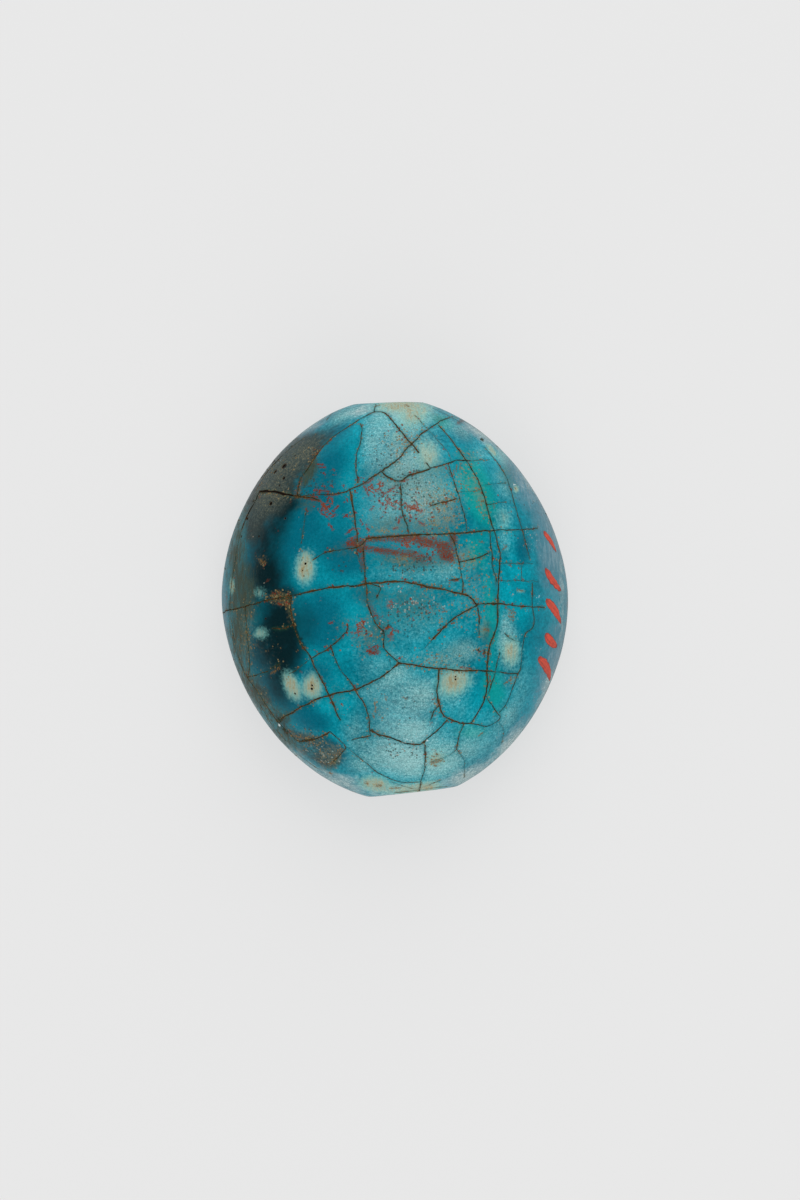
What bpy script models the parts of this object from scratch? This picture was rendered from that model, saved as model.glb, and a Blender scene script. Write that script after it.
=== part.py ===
"""Cowroid seal: one lump of glazed faience with a domed back, a flat engraved
underside and a threading hole from end to end.

Metres, +Z up. The origin is the middle of the underside, +Y runs along the
threading hole and the dome faces up.
"""

from math import cos, pi, radians, sin, tan

import bmesh
import bpy
from mathutils import Matrix, Vector

MM = 0.001

# Driving dimensions.
LENGTH = 29.0 * MM            # over the two end flats
WIDTH = 25.4 * MM             # at the widest level
HEIGHT = 12.6 * MM            # underside to crown
TIP_REACH = 14.8 * MM         # where each pointed end would be without its flat
OUTLINE_POWER = 1.86          # 2 is a true ellipse, less is slightly pointed
LEAN = -0.018                 # sideways drift of the outline for each unit of +Y
WIDEST_LEVEL = 3.2 * MM       # height of the widest level above the underside
UNDERSIDE_SCALE = 0.93        # underside outline against the widest outline
FLANK_POWER = 2.2             # how fast the flank bellies out above the underside

# Threading hole and the flats that it opens in.
HOLE_RADIUS = 1.1 * MM
HOLE_LEVEL = 3.3 * MM
HOLE_OFFSET = 0.5 * MM        # sideways, as the hole isn't quite central
FAR_FLAT_TILT = radians(1.7)
NEAR_FLAT_TILT = radians(7.0)
FAR_FLAT_CORNER = 1.95 * MM   # where each tilted flat reaches its full LENGTH / 2
NEAR_FLAT_CORNER = -1.85 * MM

# Engraving on the underside.
CUT_DEPTH = 0.4 * MM
CUT_WIDTH = 0.5 * MM
BORDER_SCALE = 0.80           # border line against the widest outline
STROKE_LENGTH = 2.1 * MM
STROKE_PITCH = 2.6 * MM
STROKE_LEAN = radians(18)     # alternate strokes lean left and right
ROW_PITCH = 3.6 * MM
ROWS_EACH_SIDE = 2            # on each side of the bare middle band
ROW_MARGIN = 1.3 * MM         # between a row's end and the border line
BAR_LEVEL = 1.8 * MM          # cross bars that edge the bare middle band

# Faceting.
SIDES = 88
FLANK_RINGS = 5
DOME_RINGS = 14
HOLE_SIDES = 32
BORDER_SIDES = 64

GLAZE_COLOUR = (0.012, 0.271, 0.386, 1.0)
GLAZE_ROUGHNESS = 0.3

OVERLAP = 1.0 * MM            # how far a cutter stands out of what it cuts


def clear_scene():
    """Remove every object, so that the file holds the seal alone."""
    for item in list(bpy.data.objects):
        bpy.data.objects.remove(item, do_unlink=True)


def signed_power(value, power):
    """Raise a value's size to a power and keep its sign."""
    return abs(value) ** power if value >= 0 else -(abs(value) ** power)


def outline(angle, scale):
    """A point on the plan outline, shrunk towards the middle by a scale."""
    power = 2 / OUTLINE_POWER
    y = scale * TIP_REACH * signed_power(sin(angle), power)
    x = scale * WIDTH / 2 * signed_power(cos(angle), power) + LEAN * y
    return x, y


def half_width_at(y, scale):
    """Half the width of the plan outline at a place along the seal."""
    along = abs(y) / (scale * TIP_REACH)
    return scale * WIDTH / 2 * max(0.0, 1 - along ** OUTLINE_POWER) ** (1 / OUTLINE_POWER)


def profile():
    """Pairs of outline scale and height, from the underside up to below the crown."""
    levels = []
    for ring in range(FLANK_RINGS):
        height = WIDEST_LEVEL * ring / FLANK_RINGS
        tuck = (1 - UNDERSIDE_SCALE) * (1 - height / WIDEST_LEVEL) ** FLANK_POWER
        levels.append((1 - tuck, height))
    for ring in range(DOME_RINGS):
        rise = pi / 2 * ring / DOME_RINGS
        levels.append((cos(rise), WIDEST_LEVEL + (HEIGHT - WIDEST_LEVEL) * sin(rise)))
    return levels


def new_object(name, mesh_data):
    """Turn a bmesh into an object with its faces pointing out."""
    bmesh.ops.recalc_face_normals(mesh_data, faces=mesh_data.faces)
    mesh = bpy.data.meshes.new(name)
    mesh_data.to_mesh(mesh)
    mesh_data.free()
    made = bpy.data.objects.new(name, mesh)
    bpy.context.scene.collection.objects.link(made)
    return made


def add_prism(mesh_data, corners, low, high):
    """Add a closed upright prism over a plan polygon."""
    bottom = [mesh_data.verts.new((x, y, low)) for x, y in corners]
    top = [mesh_data.verts.new((x, y, high)) for x, y in corners]
    mesh_data.faces.new(list(reversed(bottom)))
    mesh_data.faces.new(top)
    for here in range(len(corners)):
        there = (here + 1) % len(corners)
        mesh_data.faces.new((bottom[here], bottom[there], top[there], top[here]))


def make_cutter(name, mesh_data):
    """A guide object that only cuts: drawn as wire and left out of renders."""
    cutter = new_object(name, mesh_data)
    cutter.hide_render = True
    cutter.display_type = 'WIRE'
    return cutter


def make_body():
    """The lump before it is cut: rings of the outline, closed below and at the crown."""
    body = bmesh.new()
    rings = []
    for scale, height in profile():
        ring = []
        for side in range(SIDES):
            x, y = outline(2 * pi * side / SIDES, scale)
            ring.append(body.verts.new((x, y, height)))
        rings.append(ring)
    for lower, upper in zip(rings, rings[1:]):
        for here in range(SIDES):
            there = (here + 1) % SIDES
            body.faces.new((lower[here], lower[there], upper[there], upper[here]))
    crown = body.verts.new((0, 0, HEIGHT))
    for here in range(SIDES):
        body.faces.new((rings[-1][here], rings[-1][(here + 1) % SIDES], crown))
    body.faces.new(list(reversed(rings[0])))
    return new_object("seal", body)


def flat_line(x, end):
    """Where an end flat's plane lies along Y, at a place across the seal."""
    if end > 0:
        return LENGTH / 2 + (x - FAR_FLAT_CORNER) * tan(FAR_FLAT_TILT)
    return -LENGTH / 2 + (x - NEAR_FLAT_CORNER) * tan(NEAR_FLAT_TILT)


def make_end_cutter():
    """Two blocks, one past each end flat."""
    blocks = bmesh.new()
    for end in (1, -1):
        far = end * (TIP_REACH + 2 * OVERLAP)
        corners = [(-WIDTH, flat_line(-WIDTH, end)), (WIDTH, flat_line(WIDTH, end)),
                   (WIDTH, far + flat_line(WIDTH, end)), (-WIDTH, far + flat_line(-WIDTH, end))]
        add_prism(blocks, corners, -OVERLAP, HEIGHT + OVERLAP)
    return make_cutter("end_flat_cutter", blocks)


def make_hole_cutter():
    """A rod through the whole length, along Y."""
    rod = bmesh.new()
    along_y = Matrix.Rotation(pi / 2, 4, 'X')
    centre = Matrix.Translation(Vector((HOLE_OFFSET, 0, HOLE_LEVEL)))
    bmesh.ops.create_cone(rod, cap_ends=True, segments=HOLE_SIDES, radius1=HOLE_RADIUS,
                          radius2=HOLE_RADIUS, depth=LENGTH + 4 * OVERLAP, matrix=centre @ along_y)
    return make_cutter("hole_cutter", rod)


def add_border(cuts, low, high):
    """A closed ring that follows the outline, one cut wide."""
    half = CUT_WIDTH / WIDTH
    walls = []
    for scale in (BORDER_SCALE - half, BORDER_SCALE + half):
        for height in (low, high):
            ring = []
            for side in range(BORDER_SIDES):
                x, y = outline(2 * pi * side / BORDER_SIDES, scale)
                ring.append(cuts.verts.new((x, y, height)))
            walls.append(ring)
    inner_low, inner_high, outer_low, outer_high = walls
    around = (inner_low, outer_low, outer_high, inner_high)
    for here in range(BORDER_SIDES):
        there = (here + 1) % BORDER_SIDES
        for side in range(4):
            one, two = around[side], around[(side + 1) % 4]
            cuts.faces.new((one[here], one[there], two[there], two[here]))


def add_stroke(cuts, x, y, length, lean, low, high):
    """A straight cut centred on a place; lean turns it from along Y."""
    along = Vector((sin(lean), cos(lean))) * length / 2
    across = Vector((cos(lean), -sin(lean))) * CUT_WIDTH / 2
    middle = Vector((x, y))
    corners = [middle - along - across, middle - along + across,
               middle + along + across, middle + along - across]
    add_prism(cuts, [tuple(corner) for corner in corners], low, high)


def make_engraving_cutter():
    """The border line, two cross bars and rows of leaning strokes."""
    cuts = bmesh.new()
    low, high = -OVERLAP, CUT_DEPTH
    add_border(cuts, low, high)
    for end in (1, -1):
        bar = 2 * (half_width_at(BAR_LEVEL, BORDER_SCALE) - ROW_MARGIN)
        add_stroke(cuts, 0, end * BAR_LEVEL, bar, pi / 2, low, high)
        for row in range(ROWS_EACH_SIDE):
            y = end * (BAR_LEVEL + ROW_PITCH * (row + 0.6))
            room = half_width_at(abs(y) + STROKE_LENGTH / 2, BORDER_SCALE) - ROW_MARGIN
            each_side = int(room / STROKE_PITCH)
            for place in range(-each_side, each_side + 1):
                lean = STROKE_LEAN if (place + row) % 2 else -STROKE_LEAN
                add_stroke(cuts, place * STROKE_PITCH, y, STROKE_LENGTH, lean, low, high)
    return make_cutter("engraving_cutter", cuts)


def cut(target, cutter):
    """Take one cutter away from the seal."""
    boolean = target.modifiers.new("cut " + cutter.name, 'BOOLEAN')
    boolean.operation = 'DIFFERENCE'
    boolean.solver = 'EXACT'
    boolean.object = cutter


def glaze():
    """Turquoise alkaline glaze."""
    material = bpy.data.materials.new("turquoise glaze")
    material.use_nodes = True
    shader = material.node_tree.nodes["Principled BSDF"]
    shader.inputs["Base Color"].default_value = GLAZE_COLOUR
    shader.inputs["Roughness"].default_value = GLAZE_ROUGHNESS
    shader.inputs["Metallic"].default_value = 0.0
    return material


clear_scene()
seal = make_body()
seal.data.materials.append(glaze())
cut(seal, make_end_cutter())
cut(seal, make_hole_cutter())
cut(seal, make_engraving_cutter())
seal.data.shade_smooth()
seal.data.set_sharp_from_angle(angle=radians(30))
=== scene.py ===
"""Cowroid seal: a domed lump of glazed faience with a craquelled turquoise back, a flat
engraved underside and a threading hole from end to end, lying on a pale sheet.

+Y runs along the threading hole and the dome faces up.
"""

from math import acos, asin, cos, exp, pi, radians, sin, tan

import bpy
import numpy as np
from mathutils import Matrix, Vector, geometry, kdtree, noise


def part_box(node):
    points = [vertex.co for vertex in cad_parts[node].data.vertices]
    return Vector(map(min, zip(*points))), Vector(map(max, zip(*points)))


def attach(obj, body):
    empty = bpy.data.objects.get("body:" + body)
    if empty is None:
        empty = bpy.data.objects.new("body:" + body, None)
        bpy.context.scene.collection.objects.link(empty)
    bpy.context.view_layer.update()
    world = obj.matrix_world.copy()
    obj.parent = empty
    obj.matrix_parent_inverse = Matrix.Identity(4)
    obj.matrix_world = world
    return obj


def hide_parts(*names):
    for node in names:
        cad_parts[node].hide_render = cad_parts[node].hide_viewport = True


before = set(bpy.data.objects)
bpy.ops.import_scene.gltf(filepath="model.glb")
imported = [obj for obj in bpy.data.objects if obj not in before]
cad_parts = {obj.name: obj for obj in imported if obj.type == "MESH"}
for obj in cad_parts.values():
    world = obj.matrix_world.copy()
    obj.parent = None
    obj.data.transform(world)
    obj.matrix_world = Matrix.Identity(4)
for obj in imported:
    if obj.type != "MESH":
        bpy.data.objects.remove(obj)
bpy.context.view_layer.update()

# ---------------------------------------------------------------------------------------
# Camera. The seal is seen from straight above through a long lens, its ends up and down.
# ---------------------------------------------------------------------------------------

MM = 0.001                     # the seal's sizes below are in millimetres
LENS = 250.0
SENSOR_HEIGHT = 36.0
VIEW_HEIGHT = 88.1             # what the whole frame spans at the seal's widest level
VIEW_CENTRE = (0.37, -0.04)
WIDEST_LEVEL = 3.2             # height of the widest level above the underside

camera = bpy.data.objects.new("camera", bpy.data.cameras.new("camera"))
bpy.context.scene.collection.objects.link(camera)
camera.data.lens = LENS
camera.data.sensor_fit = 'VERTICAL'
camera.data.sensor_height = SENSOR_HEIGHT
camera.location = Vector((*VIEW_CENTRE, WIDEST_LEVEL + VIEW_HEIGHT * LENS / SENSOR_HEIGHT)) * MM
bpy.context.scene.camera = camera

# ---------------------------------------------------------------------------------------
# Floor. A matt opal sheet lit from below, wide enough to run out of every view.
# ---------------------------------------------------------------------------------------

FLOOR_SPAN = 8.0               # metres
SHEET_GREY = 0.22
SHEET_GLOW = 0.59              # its own light, as the eye sees it
MIRRORED_GLOW = 0.20           # and as it shows in the glaze


def linear(code):
    """Turn an sRGB hex colour into the linear colour that shaders use."""
    colour = []
    for place in (1, 3, 5):
        part = int(code[place:place + 2], 16) / 255
        colour.append(part / 12.92 if part <= 0.04045 else ((part + 0.055) / 1.055) ** 2.4)
    return (*colour, 1.0)


def add(tree, kind, inputs=(), out=0, **settings):
    """Add a node, set it up, feed its inputs with values or other outputs, and give an output."""
    node = tree.nodes.new(kind)
    for name, value in settings.items():
        setattr(node, name, value)
    for key, value in inputs.items() if isinstance(inputs, dict) else enumerate(inputs):
        if isinstance(value, bpy.types.NodeSocket):
            tree.links.new(value, node.inputs[key])
        else:
            node.inputs[key].default_value = value
    return node.outputs[out] if node.outputs else None


def new_material(name):
    """An empty node material."""
    material = bpy.data.materials.new(name)
    material.use_nodes = True
    material.node_tree.nodes.clear()
    return material, material.node_tree


# Opal sheet on a light table: it glows evenly, so only a faint shadow lies on it, and it
# mirrors in the glaze no brighter than a small sheet in a dim room would.
opal, tree = new_material("matt opal sheet")
mirrored = add(tree, 'ShaderNodeLightPath', out="Is Glossy Ray")
glow = add(tree, 'ShaderNodeMapRange', {
    "Value": mirrored, "To Min": SHEET_GLOW, "To Max": MIRRORED_GLOW})
even = add(tree, 'ShaderNodeBsdfPrincipled', {
    "Base Color": (SHEET_GREY, SHEET_GREY, SHEET_GREY, 1), "Roughness": 0.9,
    "Specular IOR Level": 0.0, "Emission Color": (1, 1, 1, 1), "Emission Strength": glow})
add(tree, 'ShaderNodeOutputMaterial', (even,))

half = FLOOR_SPAN / 2
floor_mesh = bpy.data.meshes.new("floor")
floor_corners = [(-half, -half, 0), (half, -half, 0), (half, half, 0), (-half, half, 0)]
floor_mesh.from_pydata(floor_corners, [], [(0, 1, 2, 3)])
floor_mesh.materials.append(opal)
floor = bpy.data.objects.new("floor", floor_mesh)
bpy.context.scene.collection.objects.link(floor)

# ---------------------------------------------------------------------------------------
# Light. A soft white tent, with two large panels, one low in front and one higher behind.
# ---------------------------------------------------------------------------------------

TENT_LIGHT = 0.60
# Each panel: name, bearing from +X and angle from overhead in degrees, distance, width and
# length in metres, watts.
PANELS = (
    ("front panel", -86, 70, 0.9, 0.55, 1.1, 4.0),
    ("back panel", 82, 58, 0.9, 0.75, 1.3, 5.5),
)

world = bpy.data.worlds.new("tent")
bpy.context.scene.world = world
world.use_nodes = True
backdrop = world.node_tree.nodes["Background"]
backdrop.inputs["Color"].default_value = (1, 1, 1, 1)
backdrop.inputs["Strength"].default_value = TENT_LIGHT
world.cycles_visibility.glossy = False     # the tent's cloth is too dull to mirror in the glaze
bpy.context.scene.view_settings.view_transform = 'Standard'
for name, bearing, tilt, distance, width, length, watts in PANELS:
    panel = bpy.data.objects.new(name, bpy.data.lights.new(name, 'AREA'))
    bpy.context.scene.collection.objects.link(panel)
    panel.data.shape = 'RECTANGLE'
    panel.data.size = width
    panel.data.size_y = length
    panel.data.energy = watts
    flat_reach = distance * sin(radians(tilt))
    panel.location = (flat_reach * cos(radians(bearing)), flat_reach * sin(radians(bearing)),
                      distance * cos(radians(tilt)))
    panel.rotation_euler = (-panel.location).to_track_quat('-Z', 'Y').to_euler()

# ---------------------------------------------------------------------------------------
# Seal. One lump of faience, pressed and carved, then coated in turquoise alkaline glaze
# and fired. The glaze has crazed, dirt has filled the cracks, and the cream body shows
# where the glaze has worn or pitted. The underside is flat, engraved and self-coloured.
#
# It is laid out as a flat blank, like a skin peeled off the dome: a place's distance from
# the middle of the blank is its angle round the dome. A node tree raises the blank.
# ---------------------------------------------------------------------------------------

low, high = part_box("seal")
HALF_WIDTH = (high.x - low.x) / 2 / MM
HALF_LENGTH = (high.y - low.y) / 2 / MM
DOME_RISE = high.z / MM - WIDEST_LEVEL
TIP_REACH = 14.8               # where each pointed end would be without its flat
OUTLINE_POWER = 1.86           # 2 is a true ellipse, less is slightly pointed
LEAN = -0.018                  # sideways drift of the outline for each unit of +Y
UNDERSIDE_SCALE = 0.93         # underside outline against the widest outline
FLANK_POWER = 2.2              # how fast the flank bellies out above the underside
BASE_ANGLE = pi / 2 + WIDEST_LEVEL / DOME_RISE    # from the crown to the underside's edge

HOLE_RADIUS = 1.1
HOLE_LEVEL = 3.3
HOLE_OFFSET = 0.5
FLATS = {1: (1.95, radians(1.7)), -1: (-1.85, radians(7.0))}   # end: corner, tilt

GRAIN = 0.155                  # spacing of the mesh on the dome
UNDER_GRAIN = 0.34             # and on the underside
STATION = 0.2                  # spacing of points along a crack or an engraved line
STATION_STEPS = 8              # how finely the gap to a line is measured between stations
SHOULDER = 0.06                # from a crack's edge to the next row of points
CLEARANCE = 0.07               # from there to the nearest loose point
MERGE_GAP = 1e-5               # points closer than this become one
INK_SPREAD = 0.055             # how far dirt reaches past a crack's edge
CRACK_REACH = 0.28             # how fast a crack's effect on the glaze beside it dies away
RING_POINTS = 400              # round the underside's edge
JITTER = 0.22                  # how far loose points stray, as a share of their spacing
TWIST = 0.618                  # turn from ring to ring, so that their points never line up
rng = np.random.default_rng(31)

# Cracks in the glaze: half width, depth, how much dirt they hold, and the share of the width
# that is left at their ends.
CRACK_KINDS = {"slit": (0.08, 0.12, 2.0, 0.35), "open": (0.040, 0.05, 1.0, 1.0),
               "thin": (0.027, 0.035, 0.9, 1.0), "faint": (0.018, 0.014, 0.70, 1.0)}
TAPER_STATIONS = 6             # over how many stations a crack narrows
WIDTH_SWAY = 1.1               # how far a crack's width varies along it
WIDTH_WAVES = 1.7              # and how often in a millimetre
WANDER_STATIONS = 3            # over how many stations a crack begins to wander
# Each sway of a wandering crack: reach, waves in a millimetre, and two seeds.
WANDER = ((0.10, 0.9, 9.7, 0), (0.05, 3.1, 5.3, 4))
# Each crack runs through a few places on the seal's plan.
CRACKS = (
    # Round the far end and down the left shoulder.
    ("thin", ((-1.4, 14.3), (-1.5, 13.7))),
    ("open", ((-1.5, 13.7), (-3.7, 12.4), (-5.2, 11.2), (-6.3, 9.6), (-6.9, 8.7), (-7.1, 7.5))),
    ("open", ((-1.5, 13.7), (-0.8, 13.6), (0.5, 12.1), (1.2, 11.3), (1.7, 10.7))),
    ("thin", ((2.3, 9.9), (2.6, 9.5))),
    ("open", ((4.0, 13.3), (2.4, 12.4), (1.2, 11.3), (0.0, 10.0), (-1.0, 9.3), (-2.3, 8.4),
              (-3.0, 8.1))),
    ("thin", ((-3.0, 8.1), (-4.2, 7.7), (-5.8, 7.6), (-7.0, 7.5))),
    ("open", ((-1.0, 9.3), (-0.5, 8.9), (0.4, 8.6), (1.2, 9.0), (3.9, 9.9), (4.5, 10.1),
              (5.6, 10.1))),
    ("faint", ((5.6, 10.1), (6.9, 10.2))),
    ("thin", ((-2.5, 12.8), (-2.4, 12.2), (-2.8, 10.1), (-2.7, 8.5))),
    # Down the crown and the right shoulder.
    ("thin", ((0.4, 8.4), (0.5, 6.6), (1.0, 4.8))),
    ("thin", ((3.9, 9.8), (4.5, 7.9), (5.1, 5.9), (5.2, 5.0))),
    ("open", ((3.2, 12.7), (4.5, 11.1), (5.1, 10.2), (6.1, 8.6), (6.7, 6.7), (7.2, 5.0),
              (7.6, 3.5), (7.6, 2.3))),
    ("open", ((7.6, 2.3), (7.4, -0.2), (7.5, -1.5), (6.8, -3.8), (6.7, -5.1), (6.6, -7.0),
              (5.6, -8.9))),
    ("faint", ((1.5, 13.4), (2.2, 12.6), (3.1, 11.6), (3.9, 10.6), (4.1, 9.9))),
    ("thin", ((6.9, 4.9), (7.1, 2.5), (7.4, 1.3))),
    ("thin", ((7.6, -3.9), (7.3, -5.2), (6.8, -6.8))),
    ("open", ((-3.3, 8.0), (-2.9, 5.9), (-2.7, 4.2))),
    ("thin", ((-2.3, 3.6), (-2.1, 1.2), (-1.9, -0.5), (-1.4, -1.7), (-0.8, -2.4), (-0.8, -3.5),
              (0.3, -4.6))),
    ("faint", ((-2.7, 3.8), (-2.7, 3.4), (-2.4, 1.9))),
    ("faint", ((-0.7, -2.4), (-0.5, -1.9))),
    ("faint", ((-0.4, -4.3), (-0.3, -4.9))),
    # Across the middle.
    ("thin", ((-5.9, 2.9), (-4.9, 3.4), (-2.8, 3.8), (-2.0, 4.4))),
    ("open", ((-2.0, 4.4), (0.7, 4.6), (4.2, 4.8), (7.2, 5.0))),
    ("thin", ((7.2, 5.0), (9.6, 5.1), (10.4, 5.2))),
    ("slit", ((-9.9, 7.9), (-8.5, 7.8), (-7.4, 7.55))),
    ("open", ((-7.4, 7.55), (-7.1, 7.5), (-5.5, 7.2))),
    ("faint", ((-6.4, 6.5), (-6.8, 4.1))),
    ("open", ((-7.3, 0.3), (-4.9, 0.8), (-2.1, 1.1), (0.4, 1.3), (2.1, 1.0), (4.8, 0.4),
              (5.5, 0.1), (5.9, -0.4))),
    ("thin", ((5.9, -0.4), (7.3, -0.3), (10.9, -0.6))),
    ("thin", ((4.0, 4.7), (4.4, 3.8), (4.8, 2.0), (4.9, 1.2), (4.9, 0.5))),
    ("thin", ((4.7, 2.7), (5.6, 2.9), (6.9, 3.4))),
    ("thin", ((4.1, 1.4), (4.7, 1.5))),
    ("thin", ((2.6, 6.8), (3.8, 7.1), (4.5, 7.3))),
    ("faint", ((4.8, 7.8), (6.1, 7.9))),
    ("faint", ((6.5, 8.3), (8.1, 8.5))),
    ("faint", ((6.6, 6.9), (8.1, 7.1))),
    ("thin", ((-2.1, 1.2), (-1.1, 0.9), (-1.3, 0.2))),
    # Lower left.
    ("open", ((-7.5, 0.2), (-7.5, -1.2), (-6.9, -3.0), (-6.1, -4.3), (-4.8, -6.9), (-4.2, -8.3),
              (-4.0, -8.7))),
    ("open", ((6.0, -0.4), (4.4, -1.3), (3.4, -2.2), (2.7, -2.9))),
    ("faint", ((2.7, -2.9), (2.2, -3.5))),
    ("thin", ((6.0, -0.6), (6.1, -1.4), (6.1, -2.5))),
    ("open", ((0.3, -4.6), (3.2, -5.0), (6.7, -5.2))),
    ("thin", ((6.7, -5.2), (8.9, -5.4))),
    ("open", ((0.3, -4.6), (-0.8, -5.5), (-2.8, -6.5), (-4.7, -6.9), (-6.4, -7.6), (-8.3, -8.7))),
    ("thin", ((-6.1, -4.3), (-4.6, -3.4), (-3.5, -2.3), (-3.4, -1.9))),
    ("faint", ((-6.1, -4.3), (-7.2, -5.1), (-7.7, -5.4))),
    ("thin", ((-4.6, -3.5), (-4.0, -5.0), (-2.9, -6.5), (-2.0, -8.2), (-1.8, -9.8))),
    # Lower end.
    ("open", ((3.2, -5.0), (3.1, -6.7), (3.2, -7.7), (3.8, -8.6), (4.9, -9.0), (5.6, -9.0))),
    ("thin", ((3.2, -7.7), (2.9, -8.1), (2.6, -8.7))),
    ("thin", ((-3.1, -10.2), (-1.8, -9.9))),
    ("open", ((-1.8, -9.5), (-1.1, -9.8), (-0.2, -10.1), (1.2, -10.5), (1.9, -10.5), (2.5, -10.0),
              (3.8, -8.8))),
    ("thin", ((2.2, -10.6), (2.2, -12.1), (1.9, -13.3), (1.8, -14.0))),
    ("open", ((-10.8, -5.7), (-9.9, -6.9), (-8.8, -8.6), (-7.7, -9.7), (-7.0, -10.3),
              (-5.7, -10.1), (-4.7, -9.6))),
    ("thin", ((-4.7, -9.6), (-3.7, -10.6), (-3.8, -11.1), (-4.5, -11.8))),
    ("faint", ((-3.7, -10.6), (-2.1, -11.9))),
    ("thin", ((-2.1, -11.9), (-0.9, -12.8), (0.5, -13.3), (1.9, -13.3))),
    ("faint", ((-0.2, -13.3), (1.5, -13.8), (3.3, -13.2))),
    ("thin", ((6.6, -7.0), (7.4, -8.2), (7.6, -8.7), (6.8, -9.2), (5.6, -9.0))),
    ("thin", ((9.1, -5.2), (8.9, -5.5), (8.1, -7.6), (7.6, -8.2))),
    ("faint", ((7.6, -9.0), (7.9, -9.5), (7.8, -10.5))),
    ("thin", ((5.0, -9.1), (4.6, -10.1), (4.5, -10.9))),
    ("faint", ((4.5, -10.9), (3.8, -11.4), (2.7, -11.8))),
    ("faint", ((4.5, -10.9), (5.0, -11.7), (5.1, -13.0))),
    # Left rim.
    ("open", ((-12.2, -0.8), (-10.8, -0.5), (-9.5, -0.1), (-7.5, 0.3))),
    ("thin", ((-10.8, -5.7), (-9.5, -5.3), (-8.4, -4.7))),
    ("slit", ((-9.9, 7.9), (-10.22, 7.2), (-10.62, 6.5), (-10.93, 5.8), (-11.2, 5.1))),
    ("thin", ((-11.2, 5.1), (-11.5, 3.8), (-11.8, 2.0), (-12.1, -0.8))),
    ("thin", ((-10.9, -0.6), (-10.7, -3.2), (-10.6, -5.1), (-10.8, -5.7))),
    ("faint", ((-12.2, -0.8), (-11.7, -3.6), (-10.8, -5.7))),
    ("open", ((-6.8, 11.7), (-8.2, 10.6))),
    ("slit", ((-8.2, 10.6), (-8.8, 9.95), (-9.3, 9.4), (-9.7, 8.8))),
    ("open", ((-9.7, 8.8), (-10.1, 8.1))),
    ("thin", ((-8.9, -2.1), (-8.2, -2.1), (-7.3, -1.8))),
    # Right rim.
    ("thin", ((6.6, 11.1), (8.0, 9.2), (8.8, 6.7), (9.3, 4.9), (9.8, 3.0))),
    ("faint", ((7.7, 2.6), (10.0, 2.6))),
    ("faint", ((7.6, 1.4), (10.4, 1.3))),
    ("faint", ((9.2, 2.4), (9.2, 1.4))),
    ("thin", ((10.0, 1.2), (10.0, -0.4), (10.1, -1.8), (9.5, -2.5), (9.3, -3.4), (9.1, -5.2))),
    ("faint", ((8.0, -2.5), (8.6, -2.9), (9.1, -3.1))),
    ("thin", ((2.8, 14.0), (4.0, 13.4), (4.7, 13.0))),
    # Slits along the steep rims.
    ("thin", ((-8.9, 10.4), (-8.0, 11.2), (-7.2, 11.8))),
    ("thin", ((4.2, 13.4), (5.2, 13.0), (6.4, 12.2))),
    ("thin", ((-11.9, -1.6), (-11.6, -3.6), (-11.0, -5.4))),
    ("thin", ((-9.9, -7.6), (-9.1, -9.0), (-8.0, -10.3))),
    ("thin", ((-7.0, -11.4), (-5.6, -12.4))),
    ("thin", ((0.0, -14.1), (1.5, -13.95), (3.0, -13.75), (3.9, -13.65))),
)
# Cracks down the steep flank: bearing in degrees from +X, and drop below the widest level.
FLANK_CRACKS = (
    ("thin", ((-42, -0.3), (-30, -0.7), (-16, -0.4), (3, -0.8))),
    ("faint", ((3, -0.8), (15, -0.4), (26, -0.7))),
    ("thin", ((3, -0.8), (3.6, 0.9), (3.0, 3.0))),
    ("faint", ((15, -0.4), (15.6, 1.0), (15.2, 2.0))),
    ("thin", ((27, -1.2), (26.4, 0.6), (27.4, 3.0))),
    ("faint", ((3.4, 1.6), (9, 1.9), (15.3, 1.7))),
    ("thin", ((51, -0.9), (50, 1.0), (50.6, 3.0))),
    ("faint", ((26.6, 1.1), (38, 0.8), (50.2, 1.0))),
    ("faint", ((-14, -0.4), (-14.6, 1.2), (-14, 2.2))),
    ("thin", ((-25, -0.6), (-24.4, 1.0), (-25.2, 3.0))),
    ("faint", ((-24.6, 1.5), (-19, 1.8), (-14.4, 1.5))),
    ("thin", ((-42, -0.8), (-41.4, 1.2), (-42.2, 3.0))),
    ("faint", ((-57, -0.2), (-56.4, 1.5), (-57, 2.6))),
    ("faint", ((-41.8, 0.6), (-50, 1.0), (-56.6, 0.8))),
    ("open", ((183.9, -2.5), (184.6, -0.6), (184, 1.2), (184.6, 3.0))),
    ("thin", ((170, -1.2), (169.4, 1.0), (170.2, 3.0))),
    ("faint", ((169.6, 1.3), (177, 1.1), (184.2, 1.4))),
    ("thin", ((155, -1.4), (155.6, 0.8), (155, 3.0))),
    ("thin", ((138, -1.0), (138.6, 0.8), (138, 3.0))),
    ("faint", ((155.4, 1.7), (147, 1.9), (138.4, 1.6))),
    ("thin", ((199, -1.0), (199.6, 0.8), (198.8, 3.0))),
    ("thin", ((215, -0.9), (214.4, 0.8), (215, 3.0))),
    ("faint", ((199.4, 1.3), (207, 1.6), (214.6, 1.3))),
    ("thin", ((232, -0.9), (232.8, 1.0), (232, 2.6))),
    ("thin", ((114, -1.9), (110, 0.6), (109, 2.8))),
    ("faint", ((73, -1.6), (71, 0.8), (72, 2.4))),
    ("thin", ((-70, -1.4), (-71, 0.6), (-70, 2.6))),
    ("faint", ((-107, -0.6), (-106, 1.0), (-107, 2.4))),
)

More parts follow.
